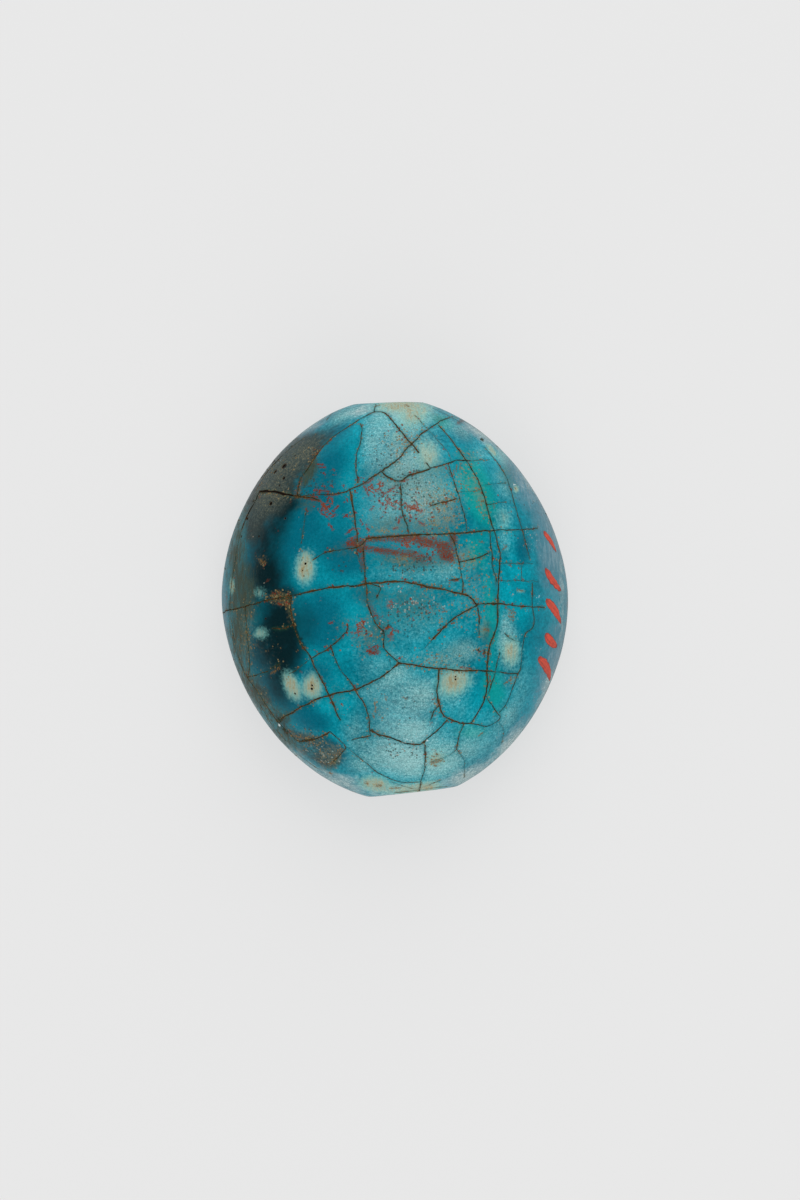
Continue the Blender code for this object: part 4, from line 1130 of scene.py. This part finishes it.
# Coats of colour over the plain glaze. Each: zone, the tone that frays it and how far, where
# it starts and where it is full, its strength, its colour. None reaches outside its zone.
COATS = (
    ("low_flank", "mottle", 0.4, 0.30, 1.2, 0.75, "#2F7482"),
    ("low_flank", "streak", 0.8, 0.90, 1.7, 0.55, "#6C949A"),
    ("underside", "cloud", 0.8, 0.95, 1.8, 0.50, "#8EA08E"),
    ("underside", "mottle", 0.9, 1.15, 1.9, 0.45, "#2E7078"),
    ("hole", "mottle", 0.5, 0.30, 1.2, 0.90, "#5E5844"),
    ("hole", "sand", 0.9, 1.10, 1.8, 0.60, "#8C8468"),
    ("worn_edge", "sand", 0.8, 0.60, 1.5, 0.75, "#A2A288"),
    ("green", "mottle", 0.2, 0.20, 0.9, 0.75, "#0C9A92"),
    ("deep", "mottle", 0.2, 0.15, 1.0, 0.85, "#005E72"),
    # The haze coats are partly wear and partly a painted sheen of the lamps.
    ("haze_and_sheen", "sand", 0.32, 0.20, 1.35, 0.66, "#80BCB8"),
    ("haze_and_sheen", "wipe", 0.60, 0.85, 1.60, 0.38, "#9CCACC"),
    ("haze_and_sheen", "dust", 0.80, 0.85, 1.50, 0.30, "#ACD0CC"),
    # The slate coats are a painted reflection of the pale surroundings on the rims.
    ("rim_reflection", "mottle", 0.4, 0.30, 1.1, 0.80, "#548090"),
    ("rim_reflection", "streak", 0.7, 0.95, 1.7, 0.50, "#8CA8B2"),
    ("smoke", "mottle", 0.12, 0.10, 0.60, 0.92, "#04505E"),
    ("smoke", "mottle", 0.16, 0.50, 1.0, 0.97, "#0A2226"),
    ("olive", "mottle", 0.4, 0.30, 1.2, 0.85, "#385650"),
    ("olive", "streak", 0.9, 0.75, 1.6, 0.85, "#3E4636"),
    # The crust coats are partly crust and partly a painted reflection along the rims.
    ("crust_and_rim_reflection", "mottle", 0.7, 0.42, 1.35, 0.74, "#98B4B6"),
    ("crust_and_rim_reflection", "sand", 0.9, 1.00, 1.75, 0.45, "#BCC8C0"),
    ("weathered", "mottle", 0.3, 0.25, 0.85, 0.94, "#2C3A38"),
    ("weathered", "sand", 0.7, 0.80, 1.6, 0.36, "#565E56"),
    ("weathered", "dust", 0.9, 1.30, 1.80, 0.36, "#7E7654"),
    ("bare", "sand", 0.35, 0.20, 0.9, 0.75, "#72B6B0"),
    ("bare", "streak", 0.35, 0.45, 1.20, 0.85, "#AAB096"),
    ("bare", "sand", 0.9, 1.20, 1.80, 0.60, "#8A7440"),
    ("bare", "streak", 0.9, 1.25, 1.80, 0.55, "#8E6E38"),
    ("grime", "sand", 0.8, 0.50, 1.60, 0.60, "#46523E"),
    ("ochre_grains", "sand", 0.8, 0.70, 1.70, 0.40, "#8A7C54"),
    ("rust", "sand", 0.9, 0.65, 1.60, 0.72, "#4A4036"),
    ("rust", "dust", 1.4, 1.10, 1.90, 0.90, "#6E2E16"),
    ("red_smears", "dust", 1.2, 1.00, 1.60, 0.90, "#722812"),
    ("ochre_smears", "dust", 1.3, 1.05, 1.70, 0.85, "#6E5430"),
    ("near_crack", "mottle", 0.5, 0.50, 1.4, 0.55, "#244C38"),
    # The salts coat is partly white chips and partly painted glints.
    ("salts_and_glints", "sand", 0.9, 1.10, 1.50, 0.85, "#DCE6E4"),
)
colour = add(tree, 'ShaderNodeMix', {0: tones["cloud"], 6: linear("#007A8C"), 7: linear("#009AAC")},
             out=2, data_type='RGBA')
# The underside has thinner, paler glaze that was never rubbed smooth.
plain = add(tree, 'ShaderNodeMix', {0: tones["mottle"], 6: linear("#2E8C90"), 7: linear("#6CA8A0")},
            out=2, data_type='RGBA')
colour = add(tree, 'ShaderNodeMix', {0: held["underside"], 6: colour, 7: plain}, out=2, data_type='RGBA')
# The glaze itself is darker and lighter in patches, and in fine grains.
for tone, least, most in (("mottle", 0.84, 1.14), ("sand", 0.84, 1.13), ("streak", 0.94, 1.05)):
    grey = add(tree, 'ShaderNodeMapRange', {"Value": tones[tone], "To Min": least, "To Max": most})
    colour = add(tree, 'ShaderNodeMix', {0: 1.0, 6: colour, 7: grey},
                 out=2, data_type='RGBA', blend_type='MULTIPLY')
shares = {}
ZONE_EDGE = 6.0                # how steeply a coat comes in at its zone's edge
for zone_name, tone, fray, start, full, strength, hue in COATS:
    frayed = add(tree, 'ShaderNodeMath', (tones[tone], fray, held[zone_name]), operation='MULTIPLY_ADD')
    share = add(tree, 'ShaderNodeMapRange', {
        "Value": frayed, "From Min": start, "From Max": full, "To Max": strength},
        interpolation_type='SMOOTHSTEP')
    inside = add(tree, 'ShaderNodeMath', (held[zone_name], ZONE_EDGE), operation='MULTIPLY',
                 use_clamp=True)
    share = add(tree, 'ShaderNodeMath', (share, inside), operation='MULTIPLY')
    colour = add(tree, 'ShaderNodeMix', {0: share, 6: colour, 7: linear(hue)},
                 out=2, data_type='RGBA')
    shares[zone_name] = share
# Clear glaze is smooth; where it is worn or decayed, its pores show as a fine grain.
grainy = add(tree, 'ShaderNodeMath', (held["haze_and_sheen"], held["weathered"]), operation='ADD')
grainy = add(tree, 'ShaderNodeMath', (grainy, held["crust_and_rim_reflection"]), operation='ADD')
grainy = add(tree, 'ShaderNodeMapRange', {
    "Value": grainy, "From Max": 0.6, "To Min": 0.45, "To Max": 1.0})
for tone, least, most in (("sand", 0.86, 1.13), ("dust", 0.79, 1.18)):
    grey = add(tree, 'ShaderNodeMapRange', {"Value": tones[tone], "To Min": least, "To Max": most})
    colour = add(tree, 'ShaderNodeMix', {0: grainy, 6: colour, 7: grey},
                 out=2, data_type='RGBA', blend_type='MULTIPLY')

# Grains lodged in the pores, one in a cell of a ragged honeycomb. Each: zone where they lie
# thick, cell in millimetres, how far the zone and a crack's nearness help, a grain's reach in
# its cell, their strength, and the two colours that they range between. Real grains are as
# fine as 0.03 mm, which would not show, so the finest are drawn as coarse as needed to show.
GRAINS = (
    ("dark_grains", 0.17, 0.66, 0.10, 0.50, 0.75, "#1C4448", "#363624"),
    ("pale_grains", 0.16, 0.58, 0.00, 0.48, 0.65, "#96BCBC", "#AC9A88"),
    ("ochre_grains", 0.18, 0.68, 0.50, 0.48, 0.85, "#8C7E56", "#6C5028"),
    ("red_grains", 0.20, 0.52, 0.32, 0.50, 0.90, "#7E2C12", "#5E2A1A"),
)
MOTTLED = 0.50                 # how far the mottle helps grains to lie in flocks
SCARCE = 1.38                  # chance, zone, crack and mottle add up to this before one lies
SOFT_EDGE = 0.12               # how much of a grain's reach is its edge
RAGGED = 0.12                  # size and reach of the unevenness in the honeycomb
ragged = add(tree, 'ShaderNodeTexNoise', {
    "Vector": place, "Scale": 1 / (RAGGED * MM), "Detail": 1.0}, out=1)
ragged = add(tree, 'ShaderNodeVectorMath', (ragged, (RAGGED * MM,) * 3, place),
             operation='MULTIPLY_ADD')
grit = None
for number, grain in enumerate(GRAINS):
    zone_name, cell, help_by, crack_help, reach, strength, hue, other_hue = grain
    apart = add(tree, 'ShaderNodeVectorMath', (ragged, (0.1 * number + 0.1, 0.0, 0.0)),
                operation='ADD')
    gap = add(tree, 'ShaderNodeTexVoronoi', {"Vector": apart, "Scale": 1 / (cell * MM)})
    chance, tint, _ = add(tree, 'ShaderNodeSeparateColor', (gap.node.outputs["Color"],)).node.outputs
    lifted = add(tree, 'ShaderNodeMath', (tones["mottle"], MOTTLED, chance), operation='MULTIPLY_ADD')
    lifted = add(tree, 'ShaderNodeMath', (held[zone_name], help_by, lifted), operation='MULTIPLY_ADD')
    lifted = add(tree, 'ShaderNodeMath', (held["near_crack"], crack_help, lifted), operation='MULTIPLY_ADD')
    there = add(tree, 'ShaderNodeMapRange', {
        "Value": lifted, "From Min": SCARCE, "From Max": SCARCE + 0.1, "To Max": strength})
    body = add(tree, 'ShaderNodeMapRange', {
        "Value": gap, "From Min": reach, "From Max": reach - SOFT_EDGE})
    share = add(tree, 'ShaderNodeMath', (there, body), operation='MULTIPLY')
    grain_hue = add(tree, 'ShaderNodeMix', {0: tint, 6: linear(hue), 7: linear(other_hue)},
                    out=2, data_type='RGBA')
    colour = add(tree, 'ShaderNodeMix', {0: share, 6: colour, 7: grain_hue}, out=2, data_type='RGBA')
    grit = share if grit is None else add(tree, 'ShaderNodeMath', (grit, share), operation='MAXIMUM')

# Thin red veins: the lines where a noise crosses its middle, broken up by another.
VEIN_GAP = 1.3                 # rough distance between veins
flow = add(tree, 'ShaderNodeTexNoise', {
    "Vector": place, "Scale": 1 / (VEIN_GAP * MM), "Detail": 3.0, "Roughness": 0.6})
flow = add(tree, 'ShaderNodeMath', (flow, 0.5), operation='SUBTRACT')
flow = add(tree, 'ShaderNodeMath', (flow,), operation='ABSOLUTE')
line = add(tree, 'ShaderNodeMapRange', {
    "Value": flow, "From Min": 0.012, "From Max": 0.03, "To Min": 1.0, "To Max": 0.0})
broken = add(tree, 'ShaderNodeMath', (tones["mottle"], 0.7, held["veins"]), operation='MULTIPLY_ADD')
broken = add(tree, 'ShaderNodeMapRange', {
    "Value": broken, "From Min": 0.60, "From Max": 0.95, "To Max": 0.9})
vein = add(tree, 'ShaderNodeMath', (line, broken), operation='MULTIPLY')
colour = add(tree, 'ShaderNodeMix', {0: vein, 6: colour, 7: linear("#803A1C")},
             out=2, data_type='RGBA')

# Dirt packed in the cracks: olive where thin, brown where thick, with rusty and black spots.
brown = add(tree, 'ShaderNodeMath', (tones["mottle"], 0.7, held["cut_ink"]), operation='MULTIPLY_ADD')
brown = add(tree, 'ShaderNodeMath', (held["green"], -0.5, brown), operation='MULTIPLY_ADD')
brown = add(tree, 'ShaderNodeMapRange', {"Value": brown, "From Min": 1.1, "From Max": 1.7})
crack_hue = add(tree, 'ShaderNodeMix', {0: brown, 6: linear("#1E3824"), 7: linear("#5A3A10")},
                out=2, data_type='RGBA')
# Spots in the dirt: what they follow, where they start and are full, strength, colour.
for source, start, full, strength, hue in (
        (tones["sand"], 0.60, 0.95, 0.75, "#140C04"), (tones["mottle"], 0.45, 0.15, 0.6, "#14201A"),
        (tones["dust"], 0.62, 0.9, 0.6, "#8C4C1C"), (held["cut_ink"], 1.0, 1.5, 0.9, "#0C0A08")):
    spotted = add(tree, 'ShaderNodeMapRange', {
        "Value": source, "From Min": start, "From Max": full, "To Max": strength})
    crack_hue = add(tree, 'ShaderNodeMix', {0: spotted, 6: crack_hue, 7: linear(hue)},
                    out=2, data_type='RGBA')
uneven_ink = add(tree, 'ShaderNodeMath', (tones["sand"], 0.5, held["cut_ink"]), operation='MULTIPLY_ADD')
uneven_ink = add(tree, 'ShaderNodeMath', (tones["mottle"], 0.4, uneven_ink), operation='MULTIPLY_ADD')
ink = add(tree, 'ShaderNodeMapRange', {"Value": uneven_ink, "From Min": 0.92, "From Max": 1.36})
clot = add(tree, 'ShaderNodeMath', (tones["sand"], 0.6, held["clots"]), operation='MULTIPLY_ADD')
clot = add(tree, 'ShaderNodeMapRange', {"Value": clot, "From Min": 0.75, "From Max": 1.0, "To Max": 0.9})
ink = add(tree, 'ShaderNodeMath', (ink, clot), operation='MAXIMUM')
colour = add(tree, 'ShaderNodeMix', {0: ink, 6: colour, 7: crack_hue}, out=2, data_type='RGBA')
# Pits are brown round their mouths and black inside: the black is dirt together with painted shade of the
# hollow.
pit_share = add(tree, 'ShaderNodeMapRange', {"Value": held["pit"], "From Min": 0.05, "From Max": 0.5})
pit_hue = add(tree, 'ShaderNodeMapRange', {"Value": held["pit"], "From Min": 0.1, "From Max": 0.5})
pit_hue = add(tree, 'ShaderNodeMix', {0: pit_hue, 6: linear("#6A4418"), 7: linear("#100A06")},
              out=2, data_type='RGBA')
colour = add(tree, 'ShaderNodeMix', {0: pit_share, 6: colour, 7: pit_hue}, out=2, data_type='RGBA')

# Gloss: high on clear glaze, lost where it is worn, decayed, bare or dirty.
CLEAR_ROUGHNESS, CLEAR_SPREAD, ROUGHEST = 0.12, 0.10, 0.9
rough = add(tree, 'ShaderNodeMath', (tones["sand"], CLEAR_SPREAD, CLEAR_ROUGHNESS),
            operation='MULTIPLY_ADD')
for loss, amount in (
        (shares["haze_and_sheen"], 0.25), (shares["weathered"], 0.3), (shares["crust_and_rim_reflection"], 0.25),
        (shares["bare"], 0.25), (shares["rust"], 0.3), (ink, 0.6), (grit, 0.35),
        (shares["olive"], 0.25), (shares["rim_reflection"], 0.1), (held["underside"], 0.3),
        (held["hole"], 0.7)):
    rough = add(tree, 'ShaderNodeMath', (loss, amount, rough), operation='MULTIPLY_ADD')
rough = add(tree, 'ShaderNodeMath', (rough, ROUGHEST), operation='MINIMUM')

# Bumps too fine for the mesh: grains stand proud and the glaze is a little uneven.
BUMP_HEIGHT = 0.015
bumps = add(tree, 'ShaderNodeMath', (tones["dust"], 0.5, grit), operation='MULTIPLY_ADD')
bumps = add(tree, 'ShaderNodeMath', (tones["mottle"], 0.8, bumps), operation='MULTIPLY_ADD')
uneven = add(tree, 'ShaderNodeBump', {
    "Strength": 0.5, "Distance": BUMP_HEIGHT * MM, "Height": bumps})
shader = add(tree, 'ShaderNodeBsdfPrincipled', {
    "Base Color": colour, "Roughness": rough, "Normal": uneven, "IOR": 1.5,
    "Specular IOR Level": 0.2})
add(tree, 'ShaderNodeOutputMaterial', (shader,))

# The tree that raises the blank into the dome.
SIZES = {
    "Half width": HALF_WIDTH * MM, "Tip reach": TIP_REACH * MM, "Outline power": OUTLINE_POWER,
    "Lean": LEAN, "Widest level": WIDEST_LEVEL * MM, "Dome rise": DOME_RISE * MM,
    "Underside scale": UNDERSIDE_SCALE, "Flank power": FLANK_POWER,
    "Far flat": HALF_LENGTH * MM, "Far corner": FLATS[1][0] * MM, "Far slope": tan(FLATS[1][1]),
    "Near flat": -HALF_LENGTH * MM, "Near corner": FLATS[-1][0] * MM,
    "Near slope": tan(FLATS[-1][1]),
    "Arris": 0.15 * MM, "Pit depth": 0.12 * MM, "Edge wear": 0.12 * MM,
    "Lump height": 0.10 * MM, "Lump size": 5.0 * MM,
    "Decay height": 0.07 * MM, "Decay size": 0.5 * MM,
}
raising = bpy.data.node_groups.new("raise the dome", 'GeometryNodeTree')
raising.interface.new_socket("Geometry", in_out='INPUT', socket_type='NodeSocketGeometry')
for name in SIZES:
    raising.interface.new_socket(name, in_out='INPUT', socket_type='NodeSocketFloat')
raising.interface.new_socket("Glaze", in_out='INPUT', socket_type='NodeSocketMaterial')
raising.interface.new_socket("Geometry", in_out='OUTPUT', socket_type='NodeSocketGeometry')
size = add(raising, 'NodeGroupInput').node.outputs
here = add(raising, 'GeometryNodeInputPosition')
flat_x, flat_y, _ = add(raising, 'ShaderNodeSeparateXYZ', (here,)).node.outputs
stored = {name: add(raising, 'GeometryNodeInputNamedAttribute', {"Name": name}, data_type='FLOAT')
          for name in ("on_blank", "cut_depth", "pit", "worn_edge", "weathered")}

# The angle round the dome, from the gauge of the place on the blank.
parts = []
for along, reach in ((flat_x, size["Half width"]), (flat_y, size["Tip reach"])):
    part = add(raising, 'ShaderNodeMath', (along, reach), operation='DIVIDE')
    part = add(raising, 'ShaderNodeMath', (part,), operation='ABSOLUTE')
    parts.append(add(raising, 'ShaderNodeMath', (part, size["Outline power"]), operation='POWER'))
total = add(raising, 'ShaderNodeMath', parts, operation='ADD')
root = add(raising, 'ShaderNodeMath', (1.0, size["Outline power"]), operation='DIVIDE')
angle = add(raising, 'ShaderNodeMath', (total, root), operation='POWER')
angle = add(raising, 'ShaderNodeMath', (angle, 1e-6), operation='MAXIMUM')
above = add(raising, 'ShaderNodeMath', (angle, pi / 2), operation='MINIMUM')
below = add(raising, 'ShaderNodeMath', (angle, above), operation='SUBTRACT')
# Down the flank the outline tucks in towards the underside.
fall = add(raising, 'ShaderNodeMath', (below, size["Dome rise"]), operation='MULTIPLY')
tuck = add(raising, 'ShaderNodeMath', (fall, size["Widest level"]), operation='DIVIDE')
tuck = add(raising, 'ShaderNodeMath', (tuck, size["Flank power"]), operation='POWER')
drawn_in = add(raising, 'ShaderNodeMath', (1.0, size["Underside scale"]), operation='SUBTRACT')
tuck = add(raising, 'ShaderNodeMath', (tuck, drawn_in), operation='MULTIPLY')
keep = add(raising, 'ShaderNodeMath', (1.0, tuck), operation='SUBTRACT')
scale = add(raising, 'ShaderNodeMath', (above,), operation='SINE')
scale = add(raising, 'ShaderNodeMath', (scale, keep), operation='MULTIPLY')
grow = add(raising, 'ShaderNodeMath', (scale, angle), operation='DIVIDE')
plan_y = add(raising, 'ShaderNodeMath', (flat_y, grow), operation='MULTIPLY')
plan_x = add(raising, 'ShaderNodeMath', (flat_x, grow), operation='MULTIPLY')
plan_x = add(raising, 'ShaderNodeMath', (plan_y, size["Lean"], plan_x), operation='MULTIPLY_ADD')
height = add(raising, 'ShaderNodeMath', (above,), operation='COSINE')
height = add(raising, 'ShaderNodeMath', (height, size["Dome rise"], size["Widest level"]),
             operation='MULTIPLY_ADD')
height = add(raising, 'ShaderNodeMath', (height, fall), operation='SUBTRACT')
# The ends are rubbed flat, with a softened arris.
for name, limit in (("Far", 'SMOOTH_MIN'), ("Near", 'SMOOTH_MAX')):
    line = add(raising, 'ShaderNodeMath', (plan_x, size[name + " corner"]), operation='SUBTRACT')
    line = add(raising, 'ShaderNodeMath', (line, size[name + " slope"], size[name + " flat"]),
               operation='MULTIPLY_ADD')
    plan_y = add(raising, 'ShaderNodeMath', (plan_y, line, size["Arris"]), operation=limit)
raised = add(raising, 'ShaderNodeCombineXYZ', (plan_x, plan_y, height))
lump = add(raising, 'GeometryNodeSetPosition', {
    "Geometry": size["Geometry"], "Selection": stored["on_blank"], "Position": raised})

# Relief: cracks, pits and engraving go in, the surface is a little lumpy, decay is rough.
relief = add(raising, 'ShaderNodeMath', (stored["cut_depth"], -MM), operation='MULTIPLY')
for name, depth in (("pit", "Pit depth"), ("worn_edge", "Edge wear")):
    part = add(raising, 'ShaderNodeMath', (stored[name], size[depth]), operation='MULTIPLY')
    relief = add(raising, 'ShaderNodeMath', (relief, part), operation='SUBTRACT')
spot = add(raising, 'GeometryNodeInputPosition')
for kind, where in (("Lump", "on_blank"), ("Decay", "weathered")):
    finer = add(raising, 'ShaderNodeMath', (1.0, size[kind + " size"]), operation='DIVIDE')
    wave = add(raising, 'ShaderNodeTexNoise', {"Vector": spot, "Scale": finer, "Detail": 2.0})
    wave = add(raising, 'ShaderNodeMath', (wave, 0.5), operation='SUBTRACT')
    wave = add(raising, 'ShaderNodeMath', (wave, size[kind + " height"]), operation='MULTIPLY')
    relief = add(raising, 'ShaderNodeMath', (wave, stored[where], relief), operation='MULTIPLY_ADD')
outward = add(raising, 'GeometryNodeInputNormal')
shift = add(raising, 'ShaderNodeVectorMath', {0: outward, "Scale": relief}, operation='SCALE')
lump = add(raising, 'GeometryNodeSetPosition', {"Geometry": lump, "Offset": shift})
lump = add(raising, 'GeometryNodeSetShadeSmooth', (lump,))
lump = add(raising, 'GeometryNodeRealizeInstances', (lump,))
lump = add(raising, 'GeometryNodeSetMaterial', {"Geometry": lump, "Material": size["Glaze"]})
add(raising, 'NodeGroupOutput', (lump,))

seal = bpy.data.objects.new("glazed_seal", mesh)
bpy.context.scene.collection.objects.link(seal)


def raise_blank(piece, material):
    """Run the raising tree on a piece and keep the result as its plain mesh."""
    modifier = piece.modifiers.new("raise the dome", 'NODES')
    modifier.node_group = raising
    values = {**SIZES, "Glaze": material}
    for item in raising.interface.items_tree:
        if item.in_out == 'INPUT' and item.name in values:
            modifier[item.identifier] = values[item.name]
    depsgraph = bpy.context.evaluated_depsgraph_get()
    result = bpy.data.meshes.new_from_object(
        piece.evaluated_get(depsgraph), preserve_all_data_layers=True, depsgraph=depsgraph)
    piece.modifiers.remove(modifier)
    piece.data = result


raise_blank(seal, glaze)
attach(seal, "root")
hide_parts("seal")

# ---------------------------------------------------------------------------------------
# Red dabs. Short brush strokes of vermilion paint laid on the glaze along the right flank:
# a thin film, thickest in its middle, with the trails of the hairs in it.
# ---------------------------------------------------------------------------------------

DAB_FILM = 0.035               # thickness of the paint in a dab's middle
DAB_EDGE = 0.006               # and at its edge
DAB_ROOT = 0.05                # how far the film's walls go down into the glaze
DAB_HALF_WIDTH = 0.50          # on the blank
DAB_TIP = 0.06                 # how much of the width is left at a tip, before rounding
DAB_ROUND = 0.38               # less is rounder at the ends
DAB_DRAWN_OUT = 0.45           # how much narrower it is where the brush left
DAB_RAGGED = 0.35              # how far its edges stray
DAB_LANES = 12                 # across a dab
DAB_ROWS = 30                  # along it, closer together near its ends
# Each dab: its start and end on the plan, and how much it bows.
DABS = (
    ((10.85, 4.9), (11.8, 3.45), 0.20),
    ((10.95, 2.25), (12.15, 0.65), -0.22),
    ((11.0, -0.05), (12.15, -1.75), 0.18),
    ((10.95, -2.55), (11.85, -3.45), -0.10),
    ((10.45, -4.25), (11.35, -5.95), 0.22),
)

dab_places, dab_film, dab_side, dab_run, dab_faces = [], [], [], [], []
for number, (start, end, bow) in enumerate(DABS):
    first, last = on_blank(*start), on_blank(*end)
    middle = first.lerp(last, 0.5) + 2 * bow * sideways([first, last], 0)
    shares = [(1 - cos(pi * row / DAB_ROWS)) / 2 for row in range(DAB_ROWS + 1)]
    path = [first.lerp(middle, share).lerp(middle.lerp(last, share), share) for share in shares]
    rows = []
    for place, (point, share) in enumerate(zip(path, shares)):
        # Round where the brush landed, drawn out where it left.
        plump = max(DAB_TIP, 4 * share * (1 - share)) ** DAB_ROUND
        half_width = DAB_HALF_WIDTH * plump * (1 - DAB_DRAWN_OUT * share ** 2)
        row = []
        for lane in range(DAB_LANES + 1):
            side = 2 * lane / DAB_LANES - 1
            run = share * (last - first).length
            edge = Vector((run * 2.6, round(side) * 3.1, number * 7.3))
            ragged = 1 + DAB_RAGGED * noise.noise(edge)
            hairs = 0.75 + 0.5 * noise.noise(Vector((side * 5.0, run * 0.6, number * 3.9)))
            body = max(0.0, min(1.0, 4 * (1 - abs(side)), 8 * share, 5 * (1 - share)))
            row.append(len(dab_places))
            dab_places.append((*(point + sideways(path, place) * half_width * side * ragged), 0.0))
            dab_film.append(DAB_EDGE + (DAB_FILM - DAB_EDGE) * body * hairs)
            dab_side.append(side + 4 * number)
            dab_run.append(run)
        rows.append(row)
    for one, two in zip(rows, rows[1:]):
        for lane in range(DAB_LANES):
            dab_faces.append((one[lane], two[lane], two[lane + 1], one[lane + 1]))

dab_mesh = bpy.data.meshes.new("red_dabs")
dab_mesh.from_pydata([Vector(place) * MM for place in dab_places], [], dab_faces)
for name, values in (
        ("on_blank", [1.0] * len(dab_places)), ("cut_depth", [-film for film in dab_film]),
        ("film", [film / DAB_FILM for film in dab_film]), ("across", dab_side), ("run", dab_run)):
    dab_mesh.attributes.new(name, 'FLOAT', 'POINT').data.foreach_set("value", values)

# Vermilion in gum: dense and matt, with trails that follow the stroke, and thin enough at the
# edges and where the brush left for the glaze to darken it.
PAINT_PATCH, PAINT_GRAIN = 0.3, 0.12     # size of its thin patches and of its grain
vermilion, tree = new_material("vermilion paint")
place = add(tree, 'ShaderNodeTexCoord', out=3)
film, across, run = (add(tree, 'ShaderNodeAttribute', out=2, attribute_name=name)
                     for name in ("film", "across", "run"))
trail = add(tree, 'ShaderNodeCombineXYZ', (across, run))
trail = add(tree, 'ShaderNodeVectorMath', (trail, (5.0, 0.8, 1.0)), operation='MULTIPLY')
hairs = add(tree, 'ShaderNodeTexNoise', {
    "Vector": trail, "Scale": 1.0, "Detail": 3.0, "Roughness": 0.6})
uneven = add(tree, 'ShaderNodeTexNoise', {
    "Vector": place, "Scale": 1 / (PAINT_PATCH * MM), "Detail": 3.0})
thin = add(tree, 'ShaderNodeMath', (hairs, 1.1, film), operation='MULTIPLY_ADD')
thin = add(tree, 'ShaderNodeMath', (uneven, 0.7, thin), operation='MULTIPLY_ADD')
dense = add(tree, 'ShaderNodeMapRange', {"Value": thin, "From Min": 1.15, "From Max": 1.85})
colour = add(tree, 'ShaderNodeMix', {0: dense, 6: linear("#8C3C34"), 7: linear("#D8503A")},
             out=2, data_type='RGBA')
sheer = add(tree, 'ShaderNodeMapRange', {
    "Value": thin, "From Min": 1.15, "From Max": 0.8, "To Max": 0.8})
colour = add(tree, 'ShaderNodeMix', {0: sheer, 6: colour, 7: linear("#56606A")},
             out=2, data_type='RGBA')
grain = add(tree, 'ShaderNodeTexNoise', {
    "Vector": place, "Scale": 1 / (PAINT_GRAIN * MM), "Detail": 2.0})
grain = add(tree, 'ShaderNodeMath', (hairs, 0.8, grain), operation='MULTIPLY_ADD')
uneven = add(tree, 'ShaderNodeBump', {"Strength": 0.5, "Distance": 0.01 * MM, "Height": grain})
shader = add(tree, 'ShaderNodeBsdfPrincipled', {
    "Base Color": colour, "Roughness": 0.62, "Normal": uneven, "IOR": 1.5,
    "Specular IOR Level": 0.28})
add(tree, 'ShaderNodeOutputMaterial', (shader,))

dabs = bpy.data.objects.new("red_dabs", dab_mesh)
bpy.context.scene.collection.objects.link(dabs)
raise_blank(dabs, vermilion)
wall = dabs.modifiers.new("walls", 'SOLIDIFY')
wall.thickness = DAB_ROOT * MM
wall.offset = -1.0
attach(dabs, "root")
